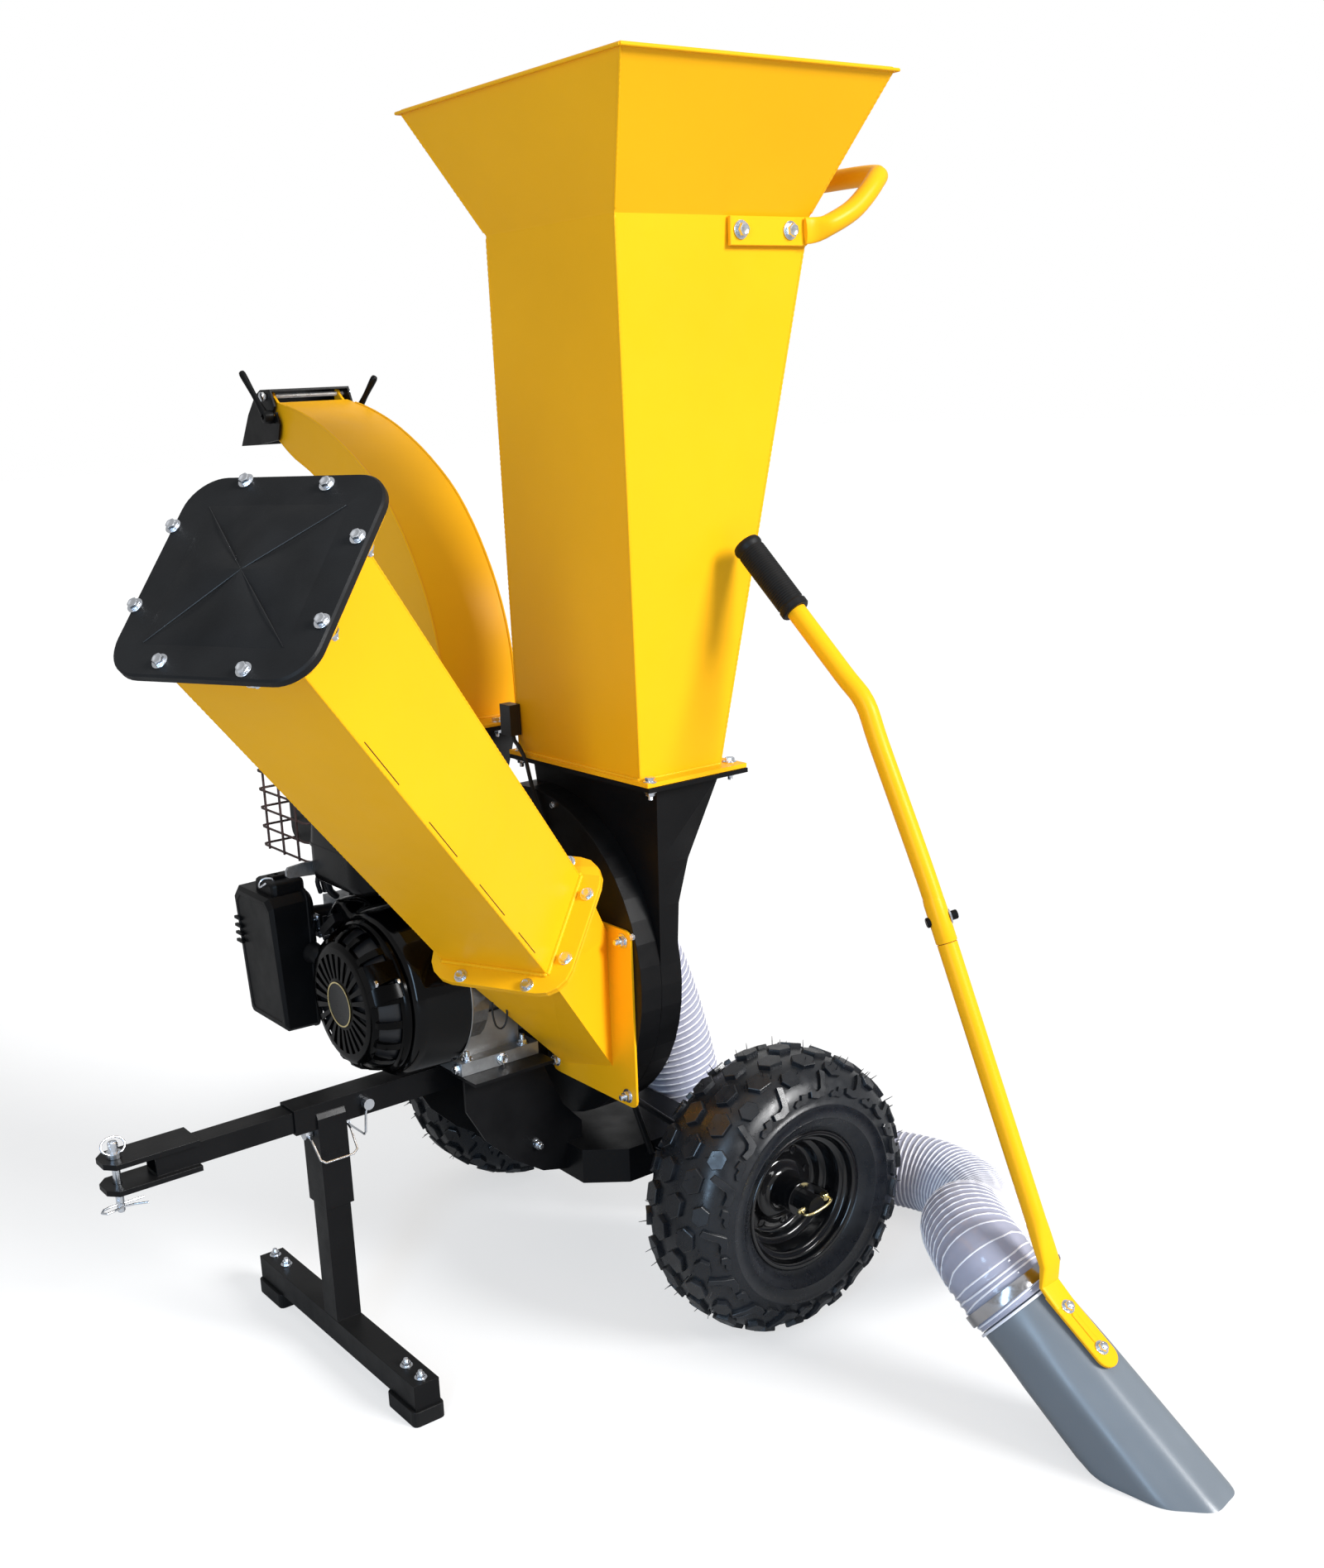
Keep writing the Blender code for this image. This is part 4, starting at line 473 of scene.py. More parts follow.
NS = 96
noz = Shape()
nrings = []
ts = [0.0, 0.0012, 0.004, 0.010] + [0.02 + 0.0 * k for k in range(1)]
ends_o = [noz_end(2 * math.pi * k / NS, 0.0) for k in range(NS)]
ends_i = [noz_end(2 * math.pi * k / NS, 0.003) for k in range(NS)]
for t in (0.0, 0.0015, 0.006, 0.016, 0.022):
    grow = -0.0008 if t == 0.0 else 0.0
    nrings.append([noz_point(t, 2 * math.pi * k / NS, -grow) for k in range(NS)])
for w in (0.08, 0.16, 0.25, 0.35, 0.45, 0.6, 0.8, 0.93, 0.985, 1.0):
    nrings.append([noz_point(0.022 + (ends_o[k] - 0.022) * w, 2 * math.pi * k / NS, 0.0006 if w == 1.0 else 0.0) for k in range(NS)])
for w in (1.0, 0.985, 0.6, 0.45, 0.35, 0.25, 0.16, 0.08, 0.0):
    nrings.append([noz_point(0.0 + (ends_i[k]) * w, 2 * math.pi * k / NS, 0.003 - (0.0006 if w == 1.0 else 0.0)) for k in range(NS)])
noz.rings(nrings, closed=True)
for v in noz.v:
    v.z = max(v.z, 0.0)
nozzle = noz.build("nozzle_shell", GREY, "machine", angle=40)
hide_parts("hose_nozzle")

# pale lip of the hose's cuff below the clamp
cuff = Shape()
lathe(cuff, [(0.0508, -0.0040), (0.0528, -0.0040), (0.0532, -0.0028), (0.0528, -0.0012), (0.0512, -0.0010), (0.0508, -0.0016)], noz_top, nd, 72, closed=True)
cuff_ob = cuff.build("hose_cuff_lip", HELIX, "machine")

# worm-drive bands
def worm_band(name, centre, axis, screw_dir, node, body="machine", head=1):
    s = Shape()
    c, ax = Vector(centre), Vector(axis).normalized()
    prof = [(0.0533, -0.0064), (0.0537, -0.0070), (0.0546, -0.0068), (0.0548, -0.0060), (0.0548, 0.0060), (0.0546, 0.0068), (0.0537, 0.0070), (0.0533, 0.0064)]
    lathe(s, prof, c, ax, 96, closed=True)
    sd = Vector(screw_dir).normalized()
    side = ax.cross(sd).normalized() * head
    # housing saddle and its screw
    out = [(-0.0125, -0.0068), (0.0125, -0.0068), (0.0125, 0.0068), (-0.0125, 0.0068)]
    slab(s, out, 0.0022, c + sd * 0.0545, side, ax, 0.0005)
    tube(s, [c + sd * 0.0605 - side * 0.0110, c + sd * 0.0605 + side * 0.0110], 0.0052, 20)
    tube(s, [c + sd * 0.0605 + side * 0.0112, c + sd * 0.0605 + side * 0.0135], 0.0060, 24)
    hexr = []
    for hh, rr in ((0.0134, 0.0052), (0.0182, 0.0052), (0.0190, 0.0044)):
        hexr.append([c + sd * 0.0605 + side * hh + (sd * math.cos(a) + ax * math.sin(a)) * rr for a in [math.pi / 3 * q for q in range(6)]])
    s.rings(hexr)
    ob = s.build(name, BAND, body, angle=30)
    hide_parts(node)
    # punched slots, drawn as dark strips of painted shade laid on the band
    sl = Shape()
    for k in range(34):
        a0 = math.radians(24 + 3.4 * k)
        d = sd * math.cos(a0) + side * math.sin(a0)
        tdir = (-sd * math.sin(a0) + side * math.cos(a0))
        slab(sl, [(-0.0007, -0.0042), (0.0007, -0.0042), (0.0007, 0.0042), (-0.0007, 0.0042)], 0.00022, c + d * 0.0547, (tdir + ax * 0.25).normalized(), ax, 0.00008)
    so = sl.build(name + "_slots", GAP_SHADE, body)
    return ob, so


scr_dir = (nb * 0.86 + na * -0.51).normalized()
band_n, band_ns = worm_band("clamp_band_nozzle", noz_top + nd * 0.016, nd, scr_dir, "hose_clamp_nozzle", head=-1)
band_p, band_ps = worm_band("clamp_band_port", (exit_x + 0.0100, 0, CRANK_Z), X, Z, "hose_clamp_port")

# ================================================================ wand
WAND_R = 0.0110


def on_noz(t, h):
    return noz_top - nd * t + lift * (0.0502 + 0.0202 * t + h)


w_foot = on_noz(0.012, 0.0110)
w_joint, w_bend, w_grip0, w_grip1 = Vector((0.0419, -0.5033, 0.5450)), Vector((0.0275, -0.4020, 0.7790)), Vector((0.0142, -0.3113, 0.8715)), Vector((0.0030, -0.2440, 0.9410))
p_top, p_end = on_noz(0.004, 0.0044), on_noz(0.104, 0.0044)
pf = (p_end - p_top).normalized()
jd = (w_joint - w_foot).normalized()
wx = jd.cross(lift).normalized()
wl = Shape()
# lower tube: round, pressed flat where it turns on to the nozzle
path = [w_joint - jd * 0.0145]
cnt = 22
span = (w_joint - w_foot).length
for i in range(1, cnt + 1):
    path.append(w_joint - jd * (0.0145 + (span - 0.030 - 0.0145) * i / cnt))
foot_pts = [p_top - pf * 0.004 + lift * 0.0030, p_top + pf * 0.010 + lift * 0.0012, p_top + pf * 0.022]
rings = []
full = path + foot_pts
tt = transport([Vector(p) for p in full])
for i, p in enumerate(full):
    t = tt[i][0]
    side = (wx - t * wx.dot(t)).normalized()
    upv = side.cross(t).normalized()
    flatten = 0.0 if i < len(path) - 3 else min(1.0, (i - (len(path) - 4)) / 4.0)
    ha = WAND_R + (0.0145 - WAND_R) * flatten
    hb = WAND_R + (0.0030 - WAND_R) * flatten
    pw = 2.0 + 3.0 * flatten
    rg = []
    for k in range(24):
        g = 2 * math.pi * k / 24
        c_, s_ = math.cos(g), math.sin(g)
        rg.append(p + side * ha * math.copysign(abs(c_) ** (2 / pw), c_) + upv * hb * math.copysign(abs(s_) ** (2 / pw), s_))
    rings.append(rg)
wl.rings(rings)
fside = pf.cross(lift).normalized()
L = (p_end - p_top).length
fo = [(-0.0145, 0.006), (0.0145, 0.006)] + [(0.0145 * math.cos(a), L - 0.0145 + 0.0145 * math.sin(a)) for a in [math.pi * k / 12 for k in range(13)]]
slab(wl, fo, 0.0044, p_top - lift * 0.0022, fside, pf, 0.0008)
# pressed rib between the two bolts
rib = [(-0.0034 * 1, 0.036), (0.0034, 0.036), (0.0034, 0.068), (-0.0034, 0.068)]
slab(wl, rounded(0.0034, 0.0190, 0.0033, 5, 0.0, 0.0520), 0.0011, p_top + lift * 0.0021, fside, pf, 0.0007)
wand_low = wl.build("wand_lower_tube", YELLOW, "machine", angle=40)
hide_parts("wand_lower")
wu = Shape()
upath, _ = smooth([w_joint - jd * 0.0137, w_joint + jd * 0.06, w_bend - (w_bend - w_joint).normalized() * 0.05, w_bend, w_bend + (w_grip0 - w_bend).normalized() * 0.04, w_grip0 + (w_bend - w_grip0).normalized() * 0.0005], 0.010)
tube(wu, upath, WAND_R, 24)
# swaged collar where the tubes meet
tube(wu, [w_joint - jd * 0.0135, w_joint - jd * 0.0125, w_joint + jd * 0.030, w_joint + jd * 0.036], [0.0112, 0.0116, 0.0116, 0.0110], 24)
wand_up = wu.build("wand_upper_tube", YELLOW, "machine", angle=40)
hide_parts("wand_upper")
gg = (w_grip1 - w_grip0).normalized()
gp = Shape()
gl = (w_grip1 - w_grip0).length
gprof = [(0.0, -0.0006), (0.0150, -0.0006), (0.0165, 0.0012), (0.0165, 0.0070), (0.0152, 0.0085)]
x0g = 0.0105
ng = 26
for i in range(ng):
    h = x0g + (gl - 0.022) * i / ng
    gprof += [(0.0150, h), (0.0158, h + 0.0010), (0.0158, h + 0.0022), (0.0150, h + 0.0031)]
gprof += [(0.0152, gl - 0.0085), (0.0163, gl - 0.0065), (0.0163, gl - 0.0030), (0.0150, gl), (0.0040, gl + 0.0003), (0.0, gl + 0.0003)]
lathe(gp, gprof, w_grip0, gg, 36, caps=False)
wand_grip = gp.build("wand_grip_sleeve", RUBBER, "machine", angle=30)
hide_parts("wand_grip")
wb = Shape()
for tb in (0.026, 0.078):
    bolt(wb, p_top + pf * tb + lift * 0.0022, lift, 0.85, stud=0.002)
# through bolt at the joint, with its nut on the far side
jx = jd.cross(Vector((0.62, 0.78, 0))).normalized()
jn = Vector((0.81, -0.58, 0.0))
jn = (jn - jd * jn.dot(jd)).normalized()
lathe(wb, [(0.0, 0.0), (0.0086, 0.0), (0.0086, 0.0018), (0.0, 0.0018)], w_joint + jd * 0.012 + jn * 0.0102, jn, 28, caps=False)
wand_bolts = wb.build("wand_bolts", ZINC, "machine", angle=30)
jb = Shape()
lathe(jb, [(0.0, 0.0), (0.0052, 0.0), (0.0052, 0.0070), (0.0044, 0.0080), (0.0, 0.0080)], w_joint + jd * 0.012 + jn * 0.0118, jn, 24, caps=False)
lathe(jb, [(0.0, 0.0), (0.0056, 0.0), (0.0056, 0.0034), (0.0046, 0.0042), (0.0, 0.0042)], w_joint + jd * 0.012 - jn * 0.0106, -jn, 24, caps=False)
jb.build("wand_joint_bolt", PLASTIC, "machine")

# ================================================================ tyres and rims
CARCASS = [(0.1690, 0.0), (0.1688, 0.012), (0.1680, 0.022), (0.1660, 0.032), (0.1622, 0.041), (0.1565, 0.0487), (0.1490, 0.0550), (0.1405, 0.0597),
           (0.1320, 0.0625), (0.1262, 0.0636), (0.1250, 0.0649), (0.1228, 0.0650), (0.1215, 0.0638), (0.1150, 0.0634), (0.1080, 0.0622), (0.1070, 0.0627), (0.1058, 0.0617),
           (0.0990, 0.0590), (0.0930, 0.0552), (0.0890, 0.0520), (0.0872, 0.0500), (0.0868, 0.0474), (0.0817, 0.0457), (0.0804, 0.0415), (0.0835, 0.0380),
           (0.1000, 0.0490), (0.1200, 0.0530), (0.1420, 0.0480), (0.1560, 0.0360), (0.1620, 0.0200), (0.1630, 0.0)]
ARC = [(0.0, 0.0)]
for (ra, ha), (rb, hb) in zip(CARCASS[:20], CARCASS[1:21]):
    ARC.append((ARC[-1][0] + math.hypot(rb - ra, hb - ha), 0))
ARC = [a for a, _ in ARC]


def on_tyre(v, lift_h):
    """(radius, height) at arc v along the outer profile, lifted off it."""
    sg = 1 if v >= 0 else -1
    v = abs(v)
    for i in range(len(ARC) - 1):
        if v <= ARC[i + 1] or i == len(ARC) - 2:
            w = (v - ARC[i]) / (ARC[i + 1] - ARC[i])
            (ra, ha), (rb, hb) = CARCASS[i], CARCASS[i + 1]
            # normal from the smooth trend of the profile
            j0, j1 = max(0, i - 1), min(20, i + 2)
            dr, dh = CARCASS[j1][0] - CARCASS[j0][0], CARCASS[j1][1] - CARCASS[j0][1]
            ln = math.hypot(dr, dh)
            nr_, nh_ = dh / ln, -dr / ln
            return ra + (rb - ra) * w + nr_ * lift_h, sg * (ha + (hb - ha) * w + nh_ * lift_h)


def knob(s, c, side, u0, v0, outline, height, base=-0.0022, chamfer=0.0014, flip=1):
    """Tread block: outline in metres round the tyre (u) and across it (v)."""
    n = len(outline)
    cu_, cv_ = sum(p[0] for p in outline) / n, sum(p[1] for p in outline) / n
    rings = []
    for grow, h in ((0.0008, base), (0.0005, height * 0.35), (0.0, height - chamfer * 0.4), (-chamfer * 0.6, height)):
        rg = []
        for (u, v) in outline:
            du, dv = u - cu_, v - cv_
            ln = max(1e-6, math.hypot(du, dv))
            uu, vv = u + du / ln * grow, v + dv / ln * grow
            r, hh = on_tyre(v0 + vv, h)
            r = min(r, 0.17495)
            ang = (u0 + flip * uu) / 0.165
            rg.append(Vector((math.cos(ang) * r, side * hh, math.sin(ang) * r)) + c)
        rings.append(rg)
    s.rings(rings)


HEX = [(-0.0150, 0.0), (-0.0085, -0.0105), (0.0085, -0.0112), (0.0155, -0.001), (0.0090, 0.0105), (-0.0080, 0.0112)]
HEX_S = [(-0.0125, 0.0), (-0.0070, -0.0085), (0.0070, -0.0090), (0.0130, -0.001), (0.0075, 0.0085), (-0.0065, 0.0090)]
BOOM = [(-0.0175, -0.0130), (-0.0110, -0.0165), (-0.0065, -0.0060), (-0.0020, 0.0050), (0.0050, 0.0075), (0.0165, 0.0050), (0.0180, 0.0115), (0.0060, 0.0150), (-0.0070, 0.0135), (-0.0120, 0.0030)]
HOOK = [(-0.0130, -0.0045), (-0.0040, -0.0060), (-0.0015, -0.0010), (0.0060, -0.0025), (0.0125, 0.0010), (0.0115, 0.0052), (0.0040, 0.0048), (-0.0060, 0.0058), (-0.0120, 0.0020)]
N_PITCH = 15
for sgn, side in ((-1, "near"), (1, "far")):
    c = Vector((0, sgn * 0.2817, 0.175))
    s = Shape()
    prof = CARCASS + [(r, -h) for r, h in reversed(CARCASS[1:-1])]
    lathe(s, [(r, h) for r, h in prof], c, Vector((0, sgn, 0)), 96, closed=True)
    tyre = s.build("tyre_carcass_" + side, TYRE, "wheel_" + side, angle=50)
    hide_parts("tyre_" + side)
    s = Shape()
    pitch = 2 * math.pi * 0.165 / N_PITCH
    for k in range(N_PITCH):
        u = k * pitch
        for half in (1, -1):
            o = 0.0 if half > 0 else 0.5
            knob(s, c, sgn * half, u + o * pitch, 0.0115, HEX, 0.0062)
            knob(s, c, sgn * half, u + (o + 0.5) * pitch, 0.0300, HEX, 0.0062)
            knob(s, c, sgn * half, u + (o + 0.02) * pitch, 0.0470, HEX_S, 0.0058)
            knob(s, c, sgn * half, u + (o + 0.52) * pitch, 0.0640, BOOM, 0.0048, flip=half)
            knob(s, c, sgn * half, u + (o + 0.04) * pitch, 0.0745, HOOK, 0.0036, flip=half)
    tread = s.build("tyre_tread_" + side, TYRE, "wheel_" + side, angle=28)
    # moulding hairs of a new tyre
    s = Shape()
    for k in range(190):
        a = k * 2.399963
        v = (((k * 37) % 100) / 100 - 0.5) * 0.100
        r, hh = on_tyre(abs(v), 0.0025)
        r = min(r, 0.1730)
        ln = 0.0030 + 0.0075 * ((k * 53) % 17) / 17
        d = Vector((math.cos(a), 0, math.sin(a)))
        if (d.z < -0.80) or abs(v) < 0.02:
            continue
        p = c + d * r + Y * (math.copysign(hh, v))
        q = p + (d + Y * 0.35 * math.copysign(1, v) + Vector((0.2 * math.sin(k), 0, 0.2 * math.cos(k)))).normalized() * (ln + 0.0025)
        tube(s, [p, (p + q) / 2, q], [0.00065, 0.00055, 0.00030], 5)
    hairs = s.build("tyre_hairs_" + side, TYRE, "wheel_" + side)
    # rim: rolled lip, well, dish and hub
    s = Shape()
    half_o = [(0.0868, 0.0478), (0.0874, 0.0500), (0.0862, 0.0516), (0.0838, 0.0519), (0.0814, 0.0508), (0.0800, 0.0488), (0.0792, 0.0455), (0.0782, 0.0420), (0.0768, 0.0398), (0.0745, 0.0388),
              (0.0715, 0.0378), (0.0700, 0.0360), (0.0695, 0.0300), (0.0688, 0.0200), (0.0676, 0.0165), (0.0650, 0.0150), (0.0620, 0.0142), (0.0600, 0.0118),
              (0.0585, 0.0050), (0.0565, 0.0026), (0.0530, 0.0018), (0.0440, 0.0018), (0.0410, 0.0040), (0.0390, 0.0085), (0.0365, 0.0098), (0.0300, 0.0100), (0.0262, 0.0104), (0.0222, 0.0125),
              (0.0206, 0.0160), (0.0201, 0.0240), (0.0200, 0.0400), (0.0194, 0.0417), (0.0180, 0.0420), (0.0145, 0.0420), (0.0131, 0.0414)]
    back = [(0.0131, -0.0414), (0.0145, -0.0420), (0.0194, -0.0417), (0.0200, -0.0400), (0.0200, -0.0060), (0.0230, -0.0030), (0.0560, -0.0030), (0.0640, -0.0060), (0.0668, -0.0130),
            (0.0675, -0.0330), (0.0740, -0.0385), (0.0792, -0.0440), (0.0806, -0.0498), (0.0862, -0.0516), (0.0874, -0.0500), (0.0868, -0.0478), (0.0811, -0.0462), (0.0800, -0.0420), (0.0745, -0.0372),
            (0.0715, -0.0340), (0.0715, 0.0340), (0.0745, 0.0352), (0.0800, 0.0412), (0.0811, 0.0462)]
    lathe(s, half_o + back, c, Vector((0, sgn, 0)), 96, closed=True)
    rim = s.build("rim_pressing_" + side, ENAMEL, "wheel_" + side, angle=40)
    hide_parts("rim_" + side)
    # valve, and the plug welds of the disc
    s = Shape()
    vp = c + Vector((0.0500, sgn * 0.0020, -0.018))
    tube(s, [vp, vp + Vector((0.006, sgn * 0.010, -0.002)), vp + Vector((0.009, sgn * 0.0225, -0.003))], [0.0056, 0.0050, 0.0042], 14)
    valve = s.build("tyre_valve_" + side, RUBBER, "wheel_" + side, angle=30)
    s = Shape()
    for k in range(8):
        a = 2 * math.pi * k / 8 + 0.2
        lathe(s, [(0.0, 0.0016), (0.0052, 0.0016), (0.0056, 0.0024), (0.0036, 0.0030), (0.0, 0.0026)], c + Vector((math.cos(a) * 0.0485, 0, math.sin(a) * 0.0485)), Vector((0, sgn, 0)), 16, caps=False)
    plug = s.build("rim_plug_welds_" + side, ENAMEL, "wheel_" + side, angle=30)
    # lynch pin with its spring ring
    s = Shape()
    ly = sgn * 0.3440
    lu = Vector((0.985, 0, 0.172)).normalized()
    lc = Vector((0, ly, 0.175))
    tube(s, [lc - lu * 0.0230, lc - lu * 0.0210, lc + lu * 0.0195, lc + lu * 0.0220], [0.0016, 0.0026, 0.0026, 0.0020], 14)
    rp, _ = smooth([lc + lu * u + Y * (sgn * v) for u, v in ((0.0190, 0.0), (0.0225, 0.0040), (0.0205, 0.0115), (0.0100, 0.0155), (-0.0100, 0.0155), (-0.0195, 0.0115), (-0.0208, 0.0040), (-0.0185, 0.0005))], 0.003)
    tube(s, rp, 0.0016, 12)
    lathe(s, [(0.0, -0.0042), (0.0042, -0.0042), (0.0052, -0.0030), (0.0052, 0.0030), (0.0042, 0.0042), (0.0, 0.0042)], lc + lu * 0.0205, lu.cross(Y), 20, caps=False)
    pin = s.build("axle_pin_" + side, PASSIVATED, "machine", angle=40)
    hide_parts("lynch_pin_" + side)
    # washer between hub and pin
    s = Shape()
    lathe(s, [(0.0128, 0.0424), (0.0205, 0.0424), (0.0208, 0.0430), (0.0208, 0.0446), (0.0203, 0.0450), (0.0128, 0.0450)], c, Vector((0, sgn, 0)), 32, closed=True)
    s.build("axle_washer_" + side, ENAMEL, "machine", angle=30)

# ================================================================ hopper trim
HB, HM, HR = (-0.0689, -0.0863, 0.0585, 0.1207, 0.6846), (-0.0250, -0.1211, 0.1327, 0.1171, 1.2799), (-0.0270, -0.1195, 0.1795, 0.2009, 1.4162)


def corner(sec, sx, sy, out=0.0):
    cx, cy, hx, hy, z = sec
    return Vector((cx + sx * (hx + out), cy + sy * (hy + out), z))


s = Shape()
for sx in (-1, 1):
    for sy in (-1, 1):
        for a, b in ((HB, HM), (HM, HR)):
            pa, pb = corner(a, sx, sy, -0.0008), corner(b, sx, sy, -0.0008)
            d = (pb - pa).normalized()
            weld_bead(s, pa + d * 0.004, pb - d * 0.002, 0.0018, 0.006)
# fillet of weld round the foot, on its flange
for (a, b) in (((-1, -1), (1, -1)), ((1, -1), (1, 1)), ((1, 1), (-1, 1)), ((-1, 1), (-1, -1))):
    pa, pb = corner(HB, *a, 0.0008), corner(HB, *b, 0.0008)
    pa.z = pb.z = 0.6902
    weld_bead(s, pa, pb, 0.0024, 0.005)
s.build("hopper_welds", YELLOW, "machine", angle=60)

# rolled edge of the rim
s = Shape()
cx, cy, hx, hy, hz = HR
edge = 0.0030
pts = [corner(HR, -1, -1, edge), corner(HR, 1, -1, edge), corner(HR, 1, 1, edge), corner(HR, -1, 1, edge)]
for i in range(4):
    a, b = pts[i], pts[(i + 1) % 4]
    a2, b2 = Vector((a.x, a.y, hz - 0.0019)), Vector((b.x, b.y, hz - 0.0019))
    tube(s, [a2, b2], 0.0017, 12)
s.build("hopper_rim_roll", YELLOW, "machine", angle=60)

# handle: tube flattened at both ends, on plates
s = Shape()
ny, fy = -0.2525, 0.0125
hp, _ = smooth([(0.0940, ny + 0.0058, 1.2650), (0.1060, ny + 0.0052, 1.2660), (0.1220, ny + 0.0020, 1.2700), (0.160, ny - 0.001, 1.288), (0.196, ny + 0.004, 1.316), (0.213, ny + 0.026, 1.326),
                (0.216, -0.120, 1.328), (0.213, fy - 0.026, 1.326), (0.196, fy - 0.004, 1.316), (0.160, fy + 0.001, 1.288), (0.1220, fy - 0.0020, 1.2700), (0.1060, fy - 0.0052, 1.2660),
                (0.0940, fy - 0.0058, 1.2650)], 0.006)
rings = []
for i, (p, (t, _a, _b)) in enumerate(zip(hp, transport(hp))):
    near = min(i, len(hp) - 1 - i) * 0.006
    w = min(1.0, max(0.0, (near - 0.006) / 0.028))
    w = w * w * (3 - 2 * w)
    flat_d = (Y - t * t.y)
    if abs(t.y) > 0.7:
        flat_d = X - t * t.x
        w = 1.0
    flat_d.normalize()
    wide_d = t.cross(flat_d).normalized()
    ha, hb = 0.0030 + 0.0083 * w, 0.0135 - 0.0022 * w
    rings.append((p, flat_d, wide_d, ha, hb))
ring_pts, prev = [], None
for p, fd, wd_, ha, hb in rings:
    rg = [p + fd * ha * math.cos(2 * math.pi * k / 28) + wd_ * hb * math.sin(2 * math.pi * k / 28) for k in range(28)]
    if prev is not None:
        # keep neighbouring rings in step where the flat side turns over
        best = min(range(28), key=lambda q: sum((rg[(k + q) % 28] - prev[k]).length for k in range(0, 28, 4)))
        rev = rg[::-1]
        best_r = min(range(28), key=lambda q: sum((rev[(k + q) % 28] - prev[k]).length for k in range(0, 28, 4)))
        d1 = sum((rg[(k + best) % 28] - prev[k]).length for k in range(0, 28, 4))
        d2 = sum((rev[(k + best_r) % 28] - prev[k]).length for k in range(0, 28, 4))
        rg = [rg[(k + best) % 28] for k in range(28)] if d1 <= d2 else [rev[(k + best_r) % 28] for k in range(28)]
    ring_pts.append(rg)
    prev = rg
s.rings(ring_pts)
for y in (-0.2437, -0.0017):
    slab(s, [(-0.010, 1.2500), (0.098, 1.2500), (0.106, 1.2560), (0.106, 1.2790), (-0.010, 1.2790)][::-1], 0.0050, (0, y + 0.0050, 0), X, Z, 0.0007)
for y, d in ((-0.2450, -1), (0.0042, 1)):
    weld_bead(s, (0.1040, y + d * 0.0010, 1.2530), (0.1040, y + d * 0.0010, 1.2770), 0.0022)
hand = s.build("handle_tube", YELLOW, "machine", angle=35)
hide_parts("hopper_handle")

# ================================================================ chipper chute trim
CH_YAW, CH_PITCH = math.radians(26.14), math.radians(44.9)
CH_FOOT = Vector((-0.142, -0.090, 0.410))
CH_LEN, CH_FLANGE = 0.7885, 0.200
cn = Vector((-math.cos(CH_PITCH) * math.cos(CH_YAW), -math.cos(CH_PITCH) * math.sin(CH_YAW), math.sin(CH_PITCH)))
e1 = Vector((math.sin(CH_YAW), -math.cos(CH_YAW), 0))
e2 = cn.cross(e1)
if e2.z < 0:
    e2 = -e2


def ch(a, b, t):
    return CH_FOOT + cn * t + e1 * a + e2 * b


WAIST, MOUTH = (-0.068, 0.066, -0.068, 0.055), (-0.075, 0.075, -0.064, 0.077)


def ch_edge(sa, sb, t, out=0.0):
    """Point on a corner edge of the upper chute."""
    w = (t - CH_FLANGE) / (CH_LEN - CH_FLANGE)
    a0, a1, b0, b1 = [p + (q - p) * w for p, q in zip(WAIST, MOUTH)]
    return ch((a1 + out) if sa > 0 else (a0 - out), (b1 + out) if sb > 0 else (b0 - out), t)


s = Shape()
for sa in (-1, 1):
    for sb in (-1, 1):
        weld_bead(s, ch_edge(sa, sb, CH_FLANGE + 0.006, -0.0011), ch_edge(sa, sb, CH_LEN - 0.004, -0.0011), 0.0017, 0.007)
for (p, q) in (((-1, -1), (1, -1)), ((1, -1), (1, 1)), ((1, 1), (-1, 1)), ((-1, 1), (-1, -1))):
    weld_bead(s, ch_edge(*p, CH_FLANGE + 0.0050, 0.0010), ch_edge(*q, CH_FLANGE + 0.0050, 0.0010), 0.0028, 0.0055)
s.build("chute_welds", YELLOW, "machine", angle=60)
# narrow open seams between the tabs along the folded edges, drawn as dark strips of painted shade
s = Shape()
for t0, t1 in ((0.245, 0.292), (0.330, 0.395), (0.450, 0.515), (0.580, 0.650)):
    for off, ax in ((0.0042, e1),):
        a, b = ch_edge(-1, -1, t0), ch_edge(-1, -1, t1)
        d = (b - a).normalized()
        L_ = (b - a).length
        # on the face that looks down and towards the drawbar
        slab(s, [(0, 0), (L_, 0), (L_, 0.0011), (0, 0.0011)], 0.00025, a + e2 * 0.0050 - e1 * 0.00005, d, e2, 0.0001)
        a, b = ch_edge(1, -1, t0), ch_edge(1, -1, t1)
        d = (b - a).normalized()
        slab(s, [(0, 0), (L_, 0), (L_, 0.0011), (0, 0.0011)], 0.00025, a + e2 * 0.0050 + e1 * 0.0003, d, e2, 0.0001)
s.build("chute_seam_shade", GAP_SHADE, "machine")

# rubber guard: plate with a raised square creased along its slits
s = Shape()
gcx, gcy = 0.010, 0.007
go = rounded(0.1065, 0.1065, 0.036, 10, gcx, gcy)


def guard_ring(shrink, t):
    out = []
    for a, b in go:
        dx, dy = a - gcx, b - gcy
        ln = math.hypot(dx, dy)
        out.append(ch(a - dx / ln * shrink, b - dy / ln * shrink, t))
    return out


inner_sq = []
ax0, ax1, bx0, bx1 = -0.066, 0.083, -0.068, 0.080
